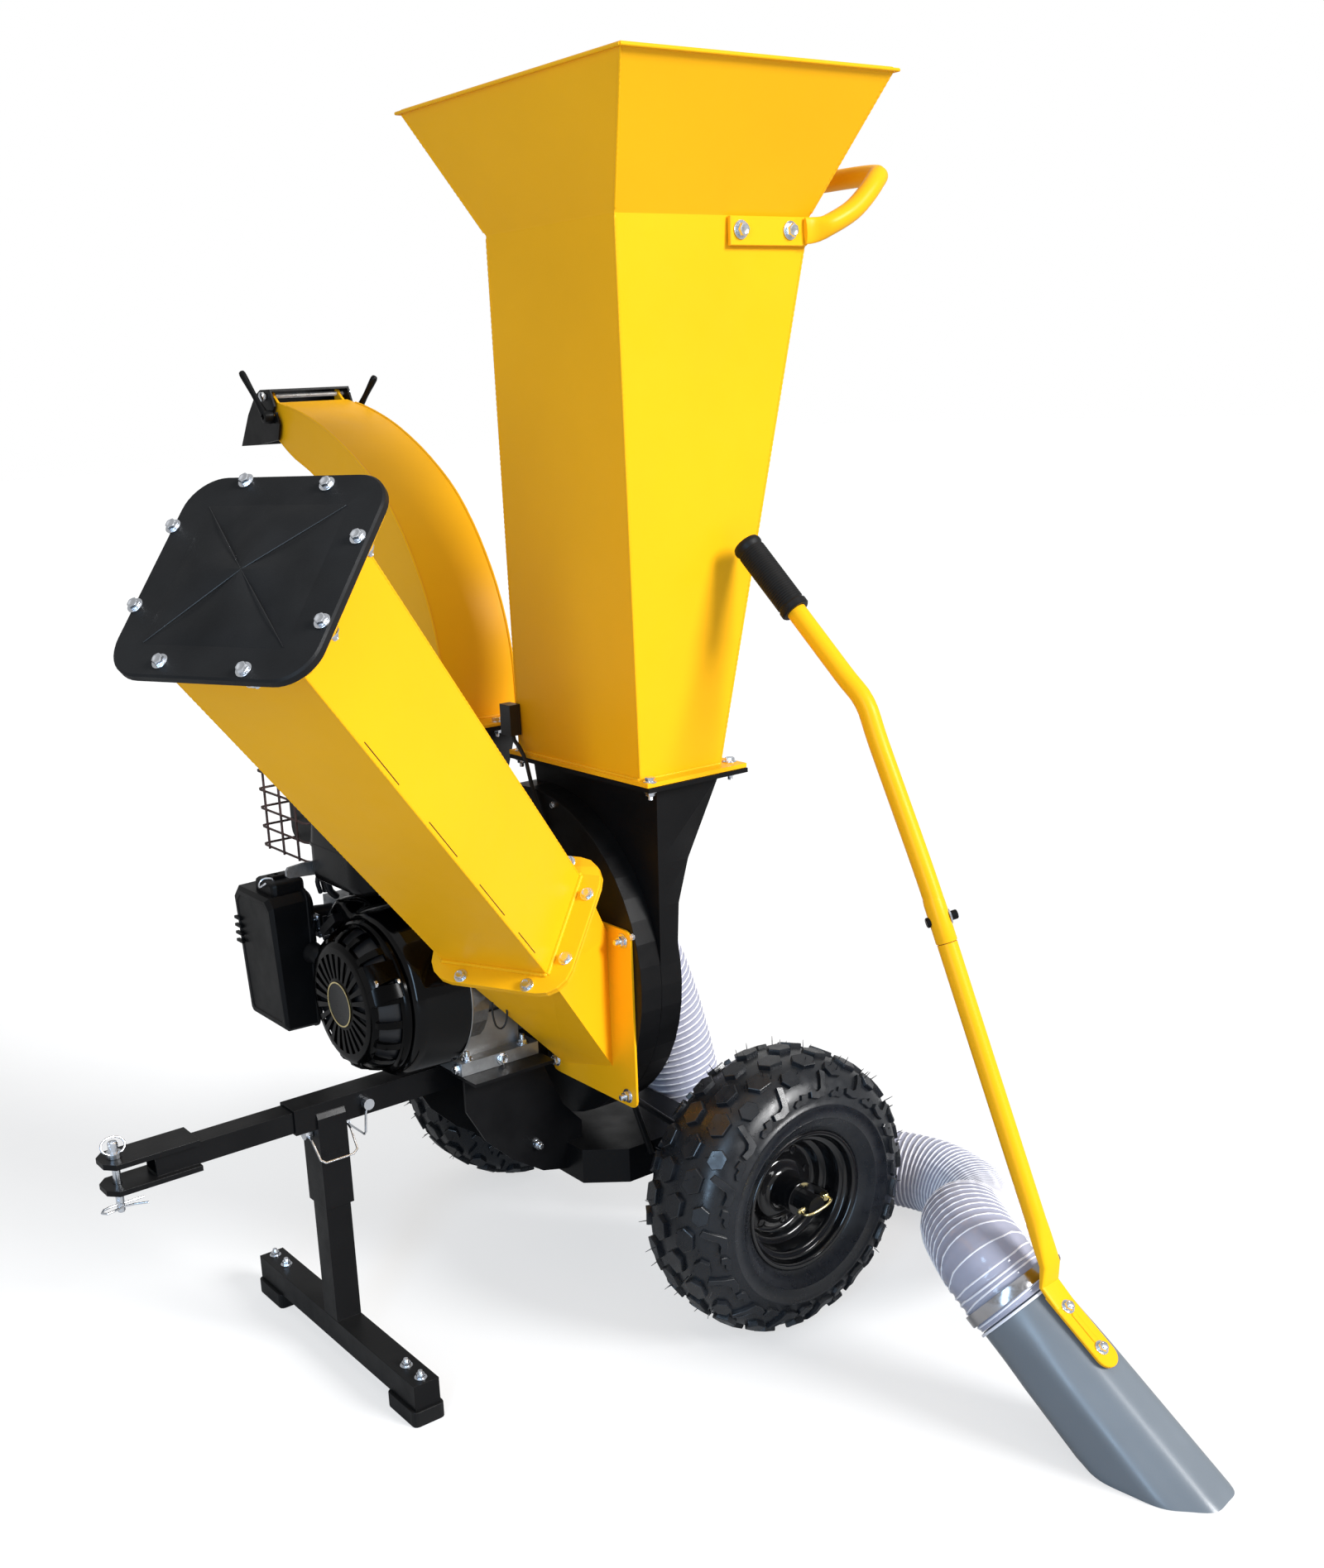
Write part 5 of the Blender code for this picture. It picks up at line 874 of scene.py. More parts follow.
# matching points on the raised square, one for each point of the outline
for a, b in go:
    dx, dy = a - gcx, b - gcy
    sc_ = min((ax1 - gcx) / dx if dx > 1e-6 else 9.0, (ax0 - gcx) / dx if dx < -1e-6 else 9.0,
              (bx1 - gcy) / dy if dy > 1e-6 else 9.0, (bx0 - gcy) / dy if dy < -1e-6 else 9.0)
    inner_sq.append((gcx + dx * sc_, gcy + dy * sc_))
T0, T1 = CH_LEN + 0.0003, CH_LEN + 0.0100
s.rings([guard_ring(0.0015, T0), guard_ring(0.0, T0 + 0.0015), guard_ring(0.0, T1 - 0.0020), guard_ring(0.0020, T1), [ch(a, b, T1) for a, b in inner_sq]], caps=False)
s.f.append([len(go) - 1 - k for k in range(len(go))])
# four panels rising to the middle, each with a slight sag beside its slit
top = (0.0085, 0.006)
cor = [(ax1, bx1), (ax0, bx1), (ax0, bx0), (ax1, bx0)]
for k in range(4):
    (a0, b0), (a1, b1) = cor[k], cor[(k + 1) % 4]
    grid, M = [], 8
    for i in range(M + 1):
        row = []
        for j in range(M + 1):
            v, u = i / M, j / M
            ea, eb = a0 + (a1 - a0) * u, b0 + (b1 - b0) * u
            pa, pb = ea + (top[0] - ea) * v, eb + (top[1] - eb) * v
            mid = 1 - abs(2 * u - 1)
            hgt = 0.0010 * min(1.0, v * 12) + 0.0062 * v - 0.0030 * math.sin(math.pi * v) * (1 - mid) ** 2 + 0.0026 * mid * math.sin(math.pi * v)
            row.append(ch(pa, pb, T1 + hgt))
        grid += row
    faces = [[i * (M + 1) + j, i * (M + 1) + j + 1, (i + 1) * (M + 1) + j + 1, (i + 1) * (M + 1) + j] for i in range(M) for j in range(M)]
    s.add(grid, faces)
grd = s.build("guard_curtain", GUARD, "machine", angle=14, weld=0.00002)
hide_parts("rubber_guard")
# the slits themselves
s = Shape()
for (a0, b0) in cor:
    q0 = ch(a0 + (top[0] - a0) * 0.02, b0 + (top[1] - b0) * 0.02, T1 + 0.0006)
    q1 = ch(top[0], top[1], T1 + 0.0068)
    pts = [q0.lerp(q1, w) for w in (0.0, 0.25, 0.5, 0.75, 1.0)]
    tube(s, pts, [0.0003, 0.0005, 0.0006, 0.0006, 0.0005], 6)
s.build("guard_slits", CORD, "machine", angle=40)

# ================================================================ bolts
s = Shape()
# guard over the chipper's mouth
for a, b in ((-.0376, .1071), (.0515, .1015), (.1071, .0447), (.1084, -.0405), (.0527, -.0898), (-.0369, -.0851), (-.0930, -.0290), (-.0943, .0569)):
    bolt(s, ch(a, b, CH_LEN + 0.0105), cn, 0.80, turn=0.4 + a * 20)
    bolt(s, ch(a, b, CH_LEN - 0.0030), -cn, 0.80, stud=0.004, turn=b * 30)
# flanges between the two chute halves
for a, b in [(0.004 + sx * 0.042, -0.0065 + sy * 0.077) for sx in (-1, 1) for sy in (-1, 1)] + [(0.004 + sx * 0.077, -0.0065 + sy * 0.040) for sx in (-1, 1) for sy in (-1, 1)]:
    bolt(s, ch(a, b, CH_FLANGE + 0.0043), cn, 0.86, turn=a * 25)
    bolt(s, ch(a, b, CH_FLANGE - 0.0043), -cn, 0.80, stud=0.004, turn=b * 25)
# chute plate on the drum
for y, z in ((-0.1814, 0.4980), (-0.036, 0.498), (-0.1800, 0.3030), (-0.0330, 0.3050)):
    bolt(s, (-0.1423, y, z), -X, 0.95, stud=0.006, turn=y * 9)
# hopper flange: bolts down, nuts below
for x, y in ((-0.1230, -0.2190), (0.0040, -0.2080), (0.0065, -0.088), (0.003, 0.041), (-0.059, 0.041), (-0.1240, 0.0360)):
    bolt(s, (x, y, 0.6897), Z, 0.86, turn=x * 30)
    bolt(s, (x, y, 0.6792), -Z, 0.80, stud=0.005, turn=y * 12)
# discharge chute flange
for x, y in ((-0.1500, 0.152), (-0.083, 0.152), (-0.016, 0.152), (-0.1500, 0.302), (-0.083, 0.302), (-0.016, 0.302)):
    bolt(s, (x, y, 0.7042), Z, 0.86, turn=x * 30)
    bolt(s, (x, y, 0.6947), -Z, 0.80, stud=0.005, turn=y * 12)
# handle plates
for x, z in ((0.004, 1.2655), (0.074, 1.2655)):
    bolt(s, (x, -0.2437 - 0.0002, z), -Y, 1.05, turn=x * 9)
    bolt(s, (x, 0.0035, z), Y, 1.05, turn=x * 9)
# rim of the drum
for y, z in ((-0.0503, 0.6375), (-0.1970, 0.5060), (-0.1700, 0.3245), (0.1200, 0.6050), (0.2000, 0.4900), (0.1700, 0.3300)):
    bolt(s, (-0.1392, y, z), -X, 0.62, washer=False, turn=y * 9)
    bolt(s, (-0.0788, y, z), X, 0.62, washer=False, stud=0.003, turn=y * 7)
# side plate of the frame
bolt(s, (-0.2021, -0.0652, 0.2184), -Y, 0.95, stud=0.006, turn=0.2)
bolt(s, (-0.2021, 0.0652, 0.2184), Y, 0.95, stud=0.006, turn=0.2)
# foot bar
for y in (-0.184, -0.152, 0.152, 0.184):
    bolt(s, (-0.4545, y, 0.0511), Z, 0.80, stud=0.004, turn=y * 10)
# engine base on the frame
for x, y in ((-0.2890, -0.0580), (-0.2090, -0.0580), (-0.292, 0.062), (-0.202, 0.062)):
    bolt(s, (x, y, 0.3526), Z, 0.80, stud=0.007, turn=x * 20)
    bolt(s, (x, y, 0.3318), -Z, 0.75, turn=y * 12)
bolt(s, (-0.2440, -0.0662, 0.3445), -Y, 0.85, turn=0.1)
bolt(s, (-0.3022, -0.0560, 0.3440), -X, 0.80, turn=0.1)
s.build("hex_bolts", ZINC, "machine", angle=30)

# deflector rod caps
s = Shape()
for x, n in ((-0.1530, -X), (-0.0130, X)):
    lathe(s, [(0.0, -0.0005), (0.0066, -0.0005), (0.0066, 0.0010), (0.0030, 0.0016), (0.0, 0.0016)], (x, 0.607, 1.124), n, 20, caps=False)
s.build("deflector_rod_caps", ZINC, "machine", angle=30)

# ================================================================ discharge chute: smooth sheet
OUTER = [(0.186, 0.700), (0.187, 0.740), (0.190, 0.780), (0.200, 0.825), (0.217, 0.870), (0.240, 0.912), (0.268, 0.952),
         (0.303, 0.990), (0.345, 1.022), (0.395, 1.052), (0.455, 1.080), (0.520, 1.101), (0.585, 1.115)]
INNER = [(0.292, 0.700), (0.294, 0.740), (0.299, 0.780), (0.308, 0.815), (0.322, 0.850), (0.341, 0.884), (0.364, 0.915),
         (0.392, 0.946), (0.426, 0.975), (0.462, 1.000), (0.503, 1.022), (0.556, 1.044), (0.612, 1.078)]


def refine(line, n):
    P = [Vector((y, z, 0)) for y, z in line]
    P = [2 * P[0] - P[1]] + P + [2 * P[-1] - P[-2]]
    out = []
    for i in range(1, len(P) - 2):
        a, b, c, d = P[i - 1:i + 3]
        for k in range(n):
            t = k / n
            q = 0.5 * ((2 * b) + (c - a) * t + (2 * a - 5 * b + 4 * c - d) * t * t + (3 * b - a - 3 * c + d) * t ** 3)
            out.append((q.x, q.y))
    out.append(tuple(P[-2][:2]))
    return out


s = Shape()
fo_, fi_ = refine(OUTER, 5), refine(INNER, 5)
X0, X1, W = -0.139, -0.027, 0.0025
rings = []
for (yo, zo), (yi, zi) in zip(fo_, fi_):
    d = Vector((0, yi - yo, zi - zo)).normalized() * W
    o_, i_ = Vector((0, yo, zo)), Vector((0, yi, zi))
    rings.append([o_ + X * X0, o_ + X * X1, i_ + X * X1, i_ + X * X0,
                  i_ - d + X * (X0 + W), i_ - d + X * (X1 - W), o_ + d + X * (X1 - W), o_ + d + X * (X0 + W)])
# outer skin and inner skin, joined at both ends
n = len(rings)
verts = [p for r in rings for p in r]
faces = []
for i in range(n - 1):
    for k in range(4):
        k2 = (k + 1) % 4
        faces.append([i * 8 + k, i * 8 + k2, (i + 1) * 8 + k2, (i + 1) * 8 + k])
        faces.append([i * 8 + 4 + k, i * 8 + 4 + k2, (i + 1) * 8 + 4 + k2, (i + 1) * 8 + 4 + k])
for e in (0, (n - 1) * 8):
    pairs = ((0, 7), (1, 6), (2, 5), (3, 4))
    for k in range(4):
        (a, a2), (b, b2) = pairs[k], pairs[(k + 1) % 4]
        faces.append([e + a, e + b, e + b2, e + a2])
s.add(verts, faces)
slab_outline = [(-0.160, 0.142), (-0.006, 0.142), (-0.006, 0.312), (-0.160, 0.312)]
# flange as four bars round the opening
block(s, (-0.160, 0.142, 0.7002), (-0.006, 0.1862, 0.7042))
block(s, (-0.160, 0.2918, 0.7002), (-0.006, 0.312, 0.7042))
block(s, (-0.160, 0.1858, 0.7003), (-0.1386, 0.2922, 0.7041))
block(s, (-0.0274, 0.1858, 0.7003), (-0.006, 0.2922, 0.7041))
for x in (X0 + 0.004, X1 - 0.004):
    ear = [(0.585, 1.106), (0.6130, 1.106), (0.6130, 1.112)] + [(0.607 + 0.0061 * math.cos(math.radians(a)), 1.124 + 0.0061 * math.sin(math.radians(a))) for a in range(0, 151, 15)] + [(0.6005, 1.1240), (0.585, 1.112)]
    slab(s, ear, 0.004, (x - 0.002, 0, 0), Y, Z, 0.0004)
for x0_, x1_ in ((X0 + 0.001, X0 - 0.0155), (X1 - 0.001, X1 + 0.0155)):
    tube(s, [(x0_, 0.590, 1.096), (x1_, 0.590, 1.096)], 0.0030, 14)
for k in range(4):
    a, b = [(X0, 0.186), (X1, 0.186), (X1, 0.292), (X0, 0.292)][k], [(X1, 0.186), (X1, 0.292), (X0, 0.292), (X0, 0.186)][k]
    weld_bead(s, (a[0], a[1], 0.7048), (b[0], b[1], 0.7048), 0.0026, 0.005)
for (li, lo_) in ((fo_, 1), (fi_, -1)):
    for x in (X0 + 0.0010, X1 - 0.0010):
        pts = [Vector((x, y, z)) for y, z in li[2:-2]]
        tube(s, pts, [0.0019 * (0.9 + 0.12 * abs(math.sin(i * 1.3))) for i in range(len(pts))], 8)
dch = s.build("discharge_duct", YELLOW, "machine", angle=28, bevel=0.0)
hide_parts("discharge_chute")

# clamp levers
for nm, xs, tip, body in (("clamp_lever_near", -1, (0.632, 1.160), "clamp_near"), ("clamp_lever_far", 1, (0.550, 1.145), "clamp_far")):
    xa = -0.139 - 0.0081 if xs < 0 else -0.027 + 0.0081
    s = Shape()
    lathe(s, [(0.0035, 0.0), (0.0080, 0.0), (0.0093, 0.0008), (0.0095, 0.0030), (0.0088, 0.0090), (0.0078, 0.0132), (0.0060, 0.0140), (0.0035, 0.0140)], (xa, 0.590, 1.096), X * xs, 28, closed=True)
    d = Vector((xs * 0.012, tip[0] - 0.590, tip[1] - 1.096))
    p0 = Vector((xa + xs * 0.009, 0.590, 1.096))
    L_ = d.length
    u = d.normalized()
    pts = [p0 + u * (0.004 + (L_ - 0.004) * w) for w in (0.0, 0.12, 0.25, 0.45, 0.65, 0.82, 0.93, 0.98, 1.0)]
    tube(s, pts, [0.0062, 0.0052, 0.0044, 0.0040, 0.0044, 0.0050, 0.0050, 0.0040, 0.0016], 16)
    ob = s.build(nm + "_moulding", PLASTIC, body, angle=50)
    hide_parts(nm)

# ================================================================ engine detail
RX = Vector((-0.3753, 0, CRANK_Z))
s = Shape()
# recoil cover: skirt with large fins, face with narrow slots
def rcp(r, x, ang):
    return Vector((RX.x + x, math.cos(ang) * r, CRANK_Z + math.sin(ang) * r))


skirt = [(0.0905, -0.0006), (0.0915, -0.0020), (0.0912, -0.0050), (0.0885, -0.0075), (0.0872, -0.0100), (0.0872, -0.0120), (0.0852, -0.0126), (0.0848, -0.0100), (0.0848, -0.0006)]
lathe(s, [(r, -x) for r, x in skirt], RX, -X, 96, closed=True)
ringm = [(0.0742, -0.0352), (0.0735, -0.0392), (0.0700, -0.0420), (0.0655, -0.0432), (0.0600, -0.0440), (0.0600, -0.0415), (0.0660, -0.0402), (0.0715, -0.0372)]
lathe(s, [(r, -x) for r, x in ringm], RX, -X, 96, closed=True)
hubp = [(0.0, -0.0452), (0.0250, -0.0452), (0.0300, -0.0450), (0.0312, -0.0444), (0.0312, -0.0420), (0.0, -0.0420)]
lathe(s, [(r, -x) for r, x in hubp], RX, -X, 96, caps=False)


def bar(s, ang, prof, wa, wb):
    """Radial rib: list of (r, x outer, x inner), tangential half widths from wa to wb."""
    rings = []
    for i, (r, xo, xi) in enumerate(prof):
        w = wa + (wb - wa) * i / (len(prof) - 1)
        t = Vector((0, -math.sin(ang), math.cos(ang)))
        c = Vector((0, math.cos(ang), math.sin(ang))) * r + Vector((RX.x, 0, CRANK_Z))
        rings.append([c + X * xi - t * w, c + X * xi + t * w, c + X * (xo * 0.985 + xi * 0.015) + t * w, c + X * xo + t * w * 0.7, c + X * xo - t * w * 0.7, c + X * (xo * 0.985 + xi * 0.015) - t * w])
    s.rings(rings)


for k in range(24):
    bar(s, 2 * math.pi * k / 24, [(0.0290, -0.0448, -0.0420), (0.0450, -0.0448, -0.0418), (0.0620, -0.0438, -0.0412)], 0.0020, 0.0036)
for k in range(18):
    a = 2 * math.pi * k / 18 + 0.10
    bar(s, a, [(0.0722, -0.0400, -0.0350), (0.0770, -0.0385, -0.0300), (0.0830, -0.0300, -0.0200), (0.0868, -0.0180, -0.0115), (0.0868, -0.0112, -0.0090)], 0.0034, 0.0050)
# scoop over the starter's rope, with its lug
for k, (a0, wd) in enumerate(((2.50, 0.016), (2.78, 0.012))):
    bar(s, a0, [(0.0700, -0.0425, -0.0350), (0.0790, -0.0400, -0.0280), (0.0860, -0.0300, -0.0150), (0.0900, -0.0140, -0.0080)], wd, wd * 0.7)
cover = s.build("recoil_fan_cover", STARTER, "machine", angle=35)
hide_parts("recoil_cover")
# dull black disc behind the fins: painted shade standing in for the dark inside of the cover
s = Shape()
lathe(s, [(0.0, 0.0380), (0.0640, 0.0380), (0.0715, 0.0350), (0.0740, 0.0300), (0.0800, 0.0190), (0.0838, 0.0100), (0.0838, 0.0080), (0.0, 0.0080)], RX, -X, 64, caps=False)
s.build("recoil_fan_shade_disc", CORD, "machine", angle=40)
s = Shape()
for k in range(3):
    a = math.radians(33 + 120 * k)
    bolt(s, rcp(0.0885, -0.0085, a), -X, 0.62, washer=False, turn=k)
bolt(s, rcp(0.0825, -0.0330, 2.62), -X, 0.62, washer=False, turn=0.3)
s.build("recoil_cover_bolts", ZINC, "machine", angle=30)
# bare oval badge with its raised rim
s = Shape()
lathe(s, [(0.0, 0.0450), (0.0262, 0.0450), (0.0270, 0.0456), (0.0262, 0.0461), (0.0250, 0.0458), (0.0, 0.0458)], RX, -X, 64, caps=False)
s.build("badge_disc", BARE_FILM, "machine", angle=40)
s = Shape()
lathe(s, [(0.0256, 0.0457), (0.0272, 0.0457), (0.0272, 0.0465), (0.0256, 0.0465)], RX, -X, 64, closed=True)
s.build("badge_ring", PASSIVATED, "machine", angle=40)

# blower housing: one smooth pressing with a rounded front edge
def polar_outline(count):
    base_ = [(0.102 * math.cos(math.radians(64 + 280 * i / 80)), CRANK_Z + 0.102 * math.sin(math.radians(64 + 280 * i / 80))) for i in range(81)]
    base_ += [(0.106, 0.448), (0.113, 0.470), (0.112, 0.510), (0.090, 0.542), (0.060, 0.545)]
    out = []
    for q in range(count):
        th = 2 * math.pi * q / count
        dx, dz = math.cos(th), math.sin(th)
        far_r = 0.0
        for i in range(len(base_)):
            (y0, z0), (y1, z1) = base_[i], base_[(i + 1) % len(base_)]
            z0, z1 = z0 - CRANK_Z, z1 - CRANK_Z
            ey, ez = y1 - y0, z1 - z0
            den = dx * ez - dz * ey
            if abs(den) < 1e-9:
                continue
            r_ = (y0 * ez - z0 * ey) / den
            u_ = (y0 * dz - z0 * dx) / den
            if r_ > 0 and -1e-6 <= u_ <= 1 + 1e-6:
                far_r = max(far_r, r_)
        out.append(far_r)
    # ease the corners
    for _ in range(3):
        out = [(out[i - 1] + 2 * out[i] + out[(i + 1) % count]) / 4 for i in range(count)]
    return out


BO = polar_outline(144)
s = Shape()


def blower_ring(x, inset=None, radius=None):
    return [Vector((x, math.cos(2 * math.pi * q / 144) * (radius if radius else BO[q] - inset), CRANK_Z + math.sin(2 * math.pi * q / 144) * (radius if radius else BO[q] - inset))) for q in range(144)]


s.rings([blower_ring(-0.3040, 0.0), blower_ring(-0.3070, 0.0), blower_ring(-0.3080, 0.0008), blower_ring(-0.3600, 0.0012), blower_ring(-0.3680, 0.0026), blower_ring(-0.3725, 0.0056),
         blower_ring(-0.3748, 0.0092), blower_ring(-0.3750, None, 0.0905), blower_ring(-0.3750, None, 0.0850), blower_ring(-0.3600, None, 0.0840), blower_ring(-0.3060, None, 0.0840)], closed=True)
blow = s.build("blower_pressing", GLOSS, "machine", angle=50)
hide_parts("blower_housing")

# fuel tank: two deep-drawn halves with a seam
s = Shape()
tx, ty, hx_, hy_ = -0.312, 0.0260, 0.0920, 0.0680
tr = []
for z, inset, rr in ((0.5702, 0.0180, 0.018), (0.5716, 0.0090, 0.022), (0.5760, 0.0030, 0.026), (0.5840, 0.0010, 0.028), (0.6150, 0.0012, 0.028), (0.6158, -0.0000, 0.028), (0.6188, -0.0000, 0.028),
                     (0.6196, 0.0012, 0.028), (0.6420, 0.0030, 0.028), (0.6540, 0.0070, 0.026), (0.6610, 0.0140, 0.024), (0.6645, 0.0260, 0.020), (0.6650, 0.0400, 0.014)):
    tr.append([Vector((x, y, z)) for x, y in rounded(hx_ - inset, hy_ - inset, rr, 8, tx, ty)])
s.rings(tr)
tank = s.build("fuel_tank_shell", TANK, "machine", angle=45)
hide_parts("fuel_tank")
s = Shape()
lathe(s, [(0.0180, 0.6630), (0.0235, 0.6630), (0.0225, 0.6650), (0.0222, 0.6712), (0.0226, 0.6720), (0.0180, 0.6720)], (-0.300, 0.030, 0), Z, 40, closed=True)
s.build("tank_filler_neck", STEEL, "machine")
s = Shape()
prof = [(0.0, 0.6902), (0.0200, 0.6902), (0.0245, 0.6897), (0.0272, 0.6880), (0.0283, 0.6855), (0.0285, 0.6700), (0.0280, 0.6690), (0.0236, 0.6690), (0.0232, 0.6745), (0.0, 0.6745)]
rings = []
seg = 96
for j, (r, h) in enumerate(prof):
    rings.append([Vector((-0.300 + math.cos(2 * math.pi * k / seg) * r * (1 - (0.035 if (j in (3, 4, 5, 6) and k % 4 < 2) else 0)), 0.030 + math.sin(2 * math.pi * k / seg) * r * (1 - (0.035 if (j in (3, 4, 5, 6) and k % 4 < 2) else 0)), h)) for k in range(seg)])
s.rings(rings, caps=False)
cap = s.build("fuel_cap_knurled", PLASTIC, "fuel_cap", angle=35, weld=0.00001)
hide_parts("fuel_cap")

# air cleaner: tall box with drafted sides, chamfered shoulders and a recessed panel
s = Shape()
def ac_ring(x, inset, lean=0.0):
    y0, y1, z0, z1 = 0.1205 + inset, 0.2255 - inset, 0.3730 + inset, 0.5450 - inset
    return [Vector((x + (lean if z < 0.45 else 0.0), y, z)) for y, z in ((y0 + 0.004, z0), (y1 - 0.004, z0), (y1, z0 + 0.004), (y1, z1 - 0.010), (y1 - 0.010, z1), (y0 + 0.010, z1), (y0, z1 - 0.010), (y0, z0 + 0.004))]
s.rings([ac_ring(-0.3925, 0.0), ac_ring(-0.4360, 0.0008, 0.0060), ac_ring(-0.4408, 0.0050, 0.0070), ac_ring(-0.4408, 0.0100, 0.0070), ac_ring(-0.4396, 0.0110, 0.0070), ac_ring(-0.4394, 0.0200, 0.0070)])
# ribs up the far edge of its face
for k in range(4):
    block(s, (-0.4425, 0.2090, 0.4700 + 0.0100 * k), (-0.4380, 0.2250, 0.4740 + 0.0100 * k), 0.0004)
# lip and base half
def ac_lip(x, g):
    return [Vector((x, y, z)) for y, z in rounded(0.0525 + g, 0.0880 + g, 0.014, 5, 0.1730, 0.4590)]
s.rings([ac_lip(-0.3930, 0.0004), ac_lip(-0.3920, 0.0016), ac_lip(-0.3885, 0.0016), ac_lip(-0.3875, 0.0004)])
s.rings([ac_lip(-0.3876, -0.0030), ac_lip(-0.3830, -0.0040), ac_lip(-0.3800, -0.0070)])
# hump with the snorkel on top, and neck to the carburettor
hump = []
for x, g in ((-0.4290, 0.006), (-0.4270, 0.0020), (-0.4230, 0.0), (-0.3880, 0.0), (-0.3860, 0.002)):
    hump.append([Vector((x, y, z)) for y, z in rounded(0.0260 - g, 0.0120 - g * 0.5, 0.0055, 5, 0.1600, 0.5478)])
s.rings(hump)
tube(s, [(-0.386, 0.150, 0.500), (-0.365, 0.150, 0.500), (-0.352, 0.150, 0.500), (-0.3448, 0.150, 0.500)], [0.017, 0.0165, 0.0150, 0.0150], 28)
acl = s.build("air_cleaner_body", PLASTIC, "machine", angle=24, bevel=0.0009)
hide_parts("air_cleaner")
s = Shape()
# wire bail and wing nut on the cleaner's top
bp_, _ = smooth([(-0.4300, 0.148, 0.5590), (-0.4345, 0.150, 0.5560), (-0.4335, 0.160, 0.5520), (-0.4300, 0.166, 0.5555), (-0.4250, 0.164, 0.5602), (-0.4180, 0.156, 0.5608), (-0.4200, 0.148, 0.5602)], 0.0025)
tube(s, bp_, 0.0013, 8)
tube(s, [(-0.4100, 0.160, 0.5590), (-0.4100, 0.160, 0.5640)], 0.0032, 12)
s.build("air_cleaner_bail", ZINC, "machine", angle=40)
s = Shape()
block(s, (-0.4185, 0.1520, 0.5588), (-0.4010, 0.1680, 0.5640), 0.0012)
s.build("air_cleaner_latch", PLASTIC, "machine", angle=30)
# intake elbow from the box towards the blower
s = Shape()
el_pts, _ = smooth([(-0.3930, 0.118, 0.470), (-0.3900, 0.106, 0.468), (-0.3820, 0.097, 0.462), (-0.3720, 0.094, 0.452), (-0.3680, 0.093, 0.446)], 0.003)
tube(s, el_pts, [0.0135] * 2 + [0.0125] * (len(el_pts) - 2), 20)
s.build("intake_elbow", PLASTIC, "machine", angle=50)

# breather hose, governor wires and the stop lead
s = Shape()
b1, _ = smooth([(-0.3550, 0.140, 0.535), (-0.3600, 0.136, 0.565), (-0.3560, 0.120, 0.590), (-0.3440, 0.100, 0.600), (-0.3300, 0.080, 0.588), (-0.3200, 0.060, 0.570)], 0.006)
tube(s, b1, 0.0042, 12)
b2, _ = smooth([(-0.3700, 0.125, 0.540), (-0.3760, 0.118, 0.558), (-0.3720, 0.108, 0.574), (-0.3580, 0.098, 0.570), (-0.3480, 0.088, 0.560)], 0.006)
tube(s, b2, 0.0030, 10)
b4, _ = smooth([(-0.3480, 0.128, 0.530), (-0.3640, 0.112, 0.545), (-0.3700, 0.104, 0.566), (-0.3620, 0.104, 0.586), (-0.3460, 0.108, 0.598), (-0.3300, 0.112, 0.592)], 0.005)
tube(s, b4, 0.0045, 12)
b5, _ = smooth([(-0.3500, 0.118, 0.470), (-0.3620, 0.112, 0.478), (-0.3720, 0.108, 0.500), (-0.3660, 0.104, 0.520), (-0.3540, 0.102, 0.530)], 0.005)
tube(s, b5, 0.0034, 12)
# thin lead that loops beside the crankcase
b3, _ = smooth([(-0.2850, -0.082, 0.470), (-0.2700, -0.090, 0.462), (-0.2560, -0.093, 0.440), (-0.2500, -0.092, 0.410), (-0.2560, -0.090, 0.394), (-0.2650, -0.089, 0.400),
                (-0.2680, -0.089, 0.425), (-0.2600, -0.090, 0.452), (-0.2450, -0.088, 0.470), (-0.2300, -0.082, 0.484)], 0.004)
tube(s, b3, 0.0012, 8)
s.build("engine_leads", CORD, "machine", angle=60)
s = Shape()
g1, _ = smooth([(-0.3600, 0.098, 0.566), (-0.3400, 0.060, 0.560), (-0.3200, 0.020, 0.556), (-0.3000, -0.020, 0.552)], 0.01)
tube(s, g1, 0.0011, 8)
g2, _ = smooth([(-0.3550, 0.092, 0.552), (-0.3400, 0.050, 0.548), (-0.3300, 0.010, 0.549), (-0.3200, -0.020, 0.5475)], 0.01)
tube(s, g2, 0.0009, 8)
s.build("governor_rods", ZINC, "machine", angle=60)
s = Shape()
# bright pieces of the carburettor's linkage
tube(s, [(-0.3560, 0.1150, 0.4900), (-0.3560, 0.1030, 0.5100), (-0.3500, 0.0980, 0.5220)], 0.0030, 12)
lathe(s, [(0.0, 0.0), (0.0070, 0.0), (0.0070, 0.0080), (0.0040, 0.0110), (0.0, 0.0110)], (-0.3560, 0.1180, 0.4880), Vector((-0.5, -0.8, 0.1)), 20, caps=False)
lathe(s, [(0.0, 0.0), (0.0050, 0.0), (0.0050, 0.0120), (0.0, 0.0120)], (-0.3520, 0.1120, 0.5080), Vector((-0.6, -0.6, 0.3)), 16, caps=False)
s.build("carburettor_linkage", STEEL, "machine", angle=30)
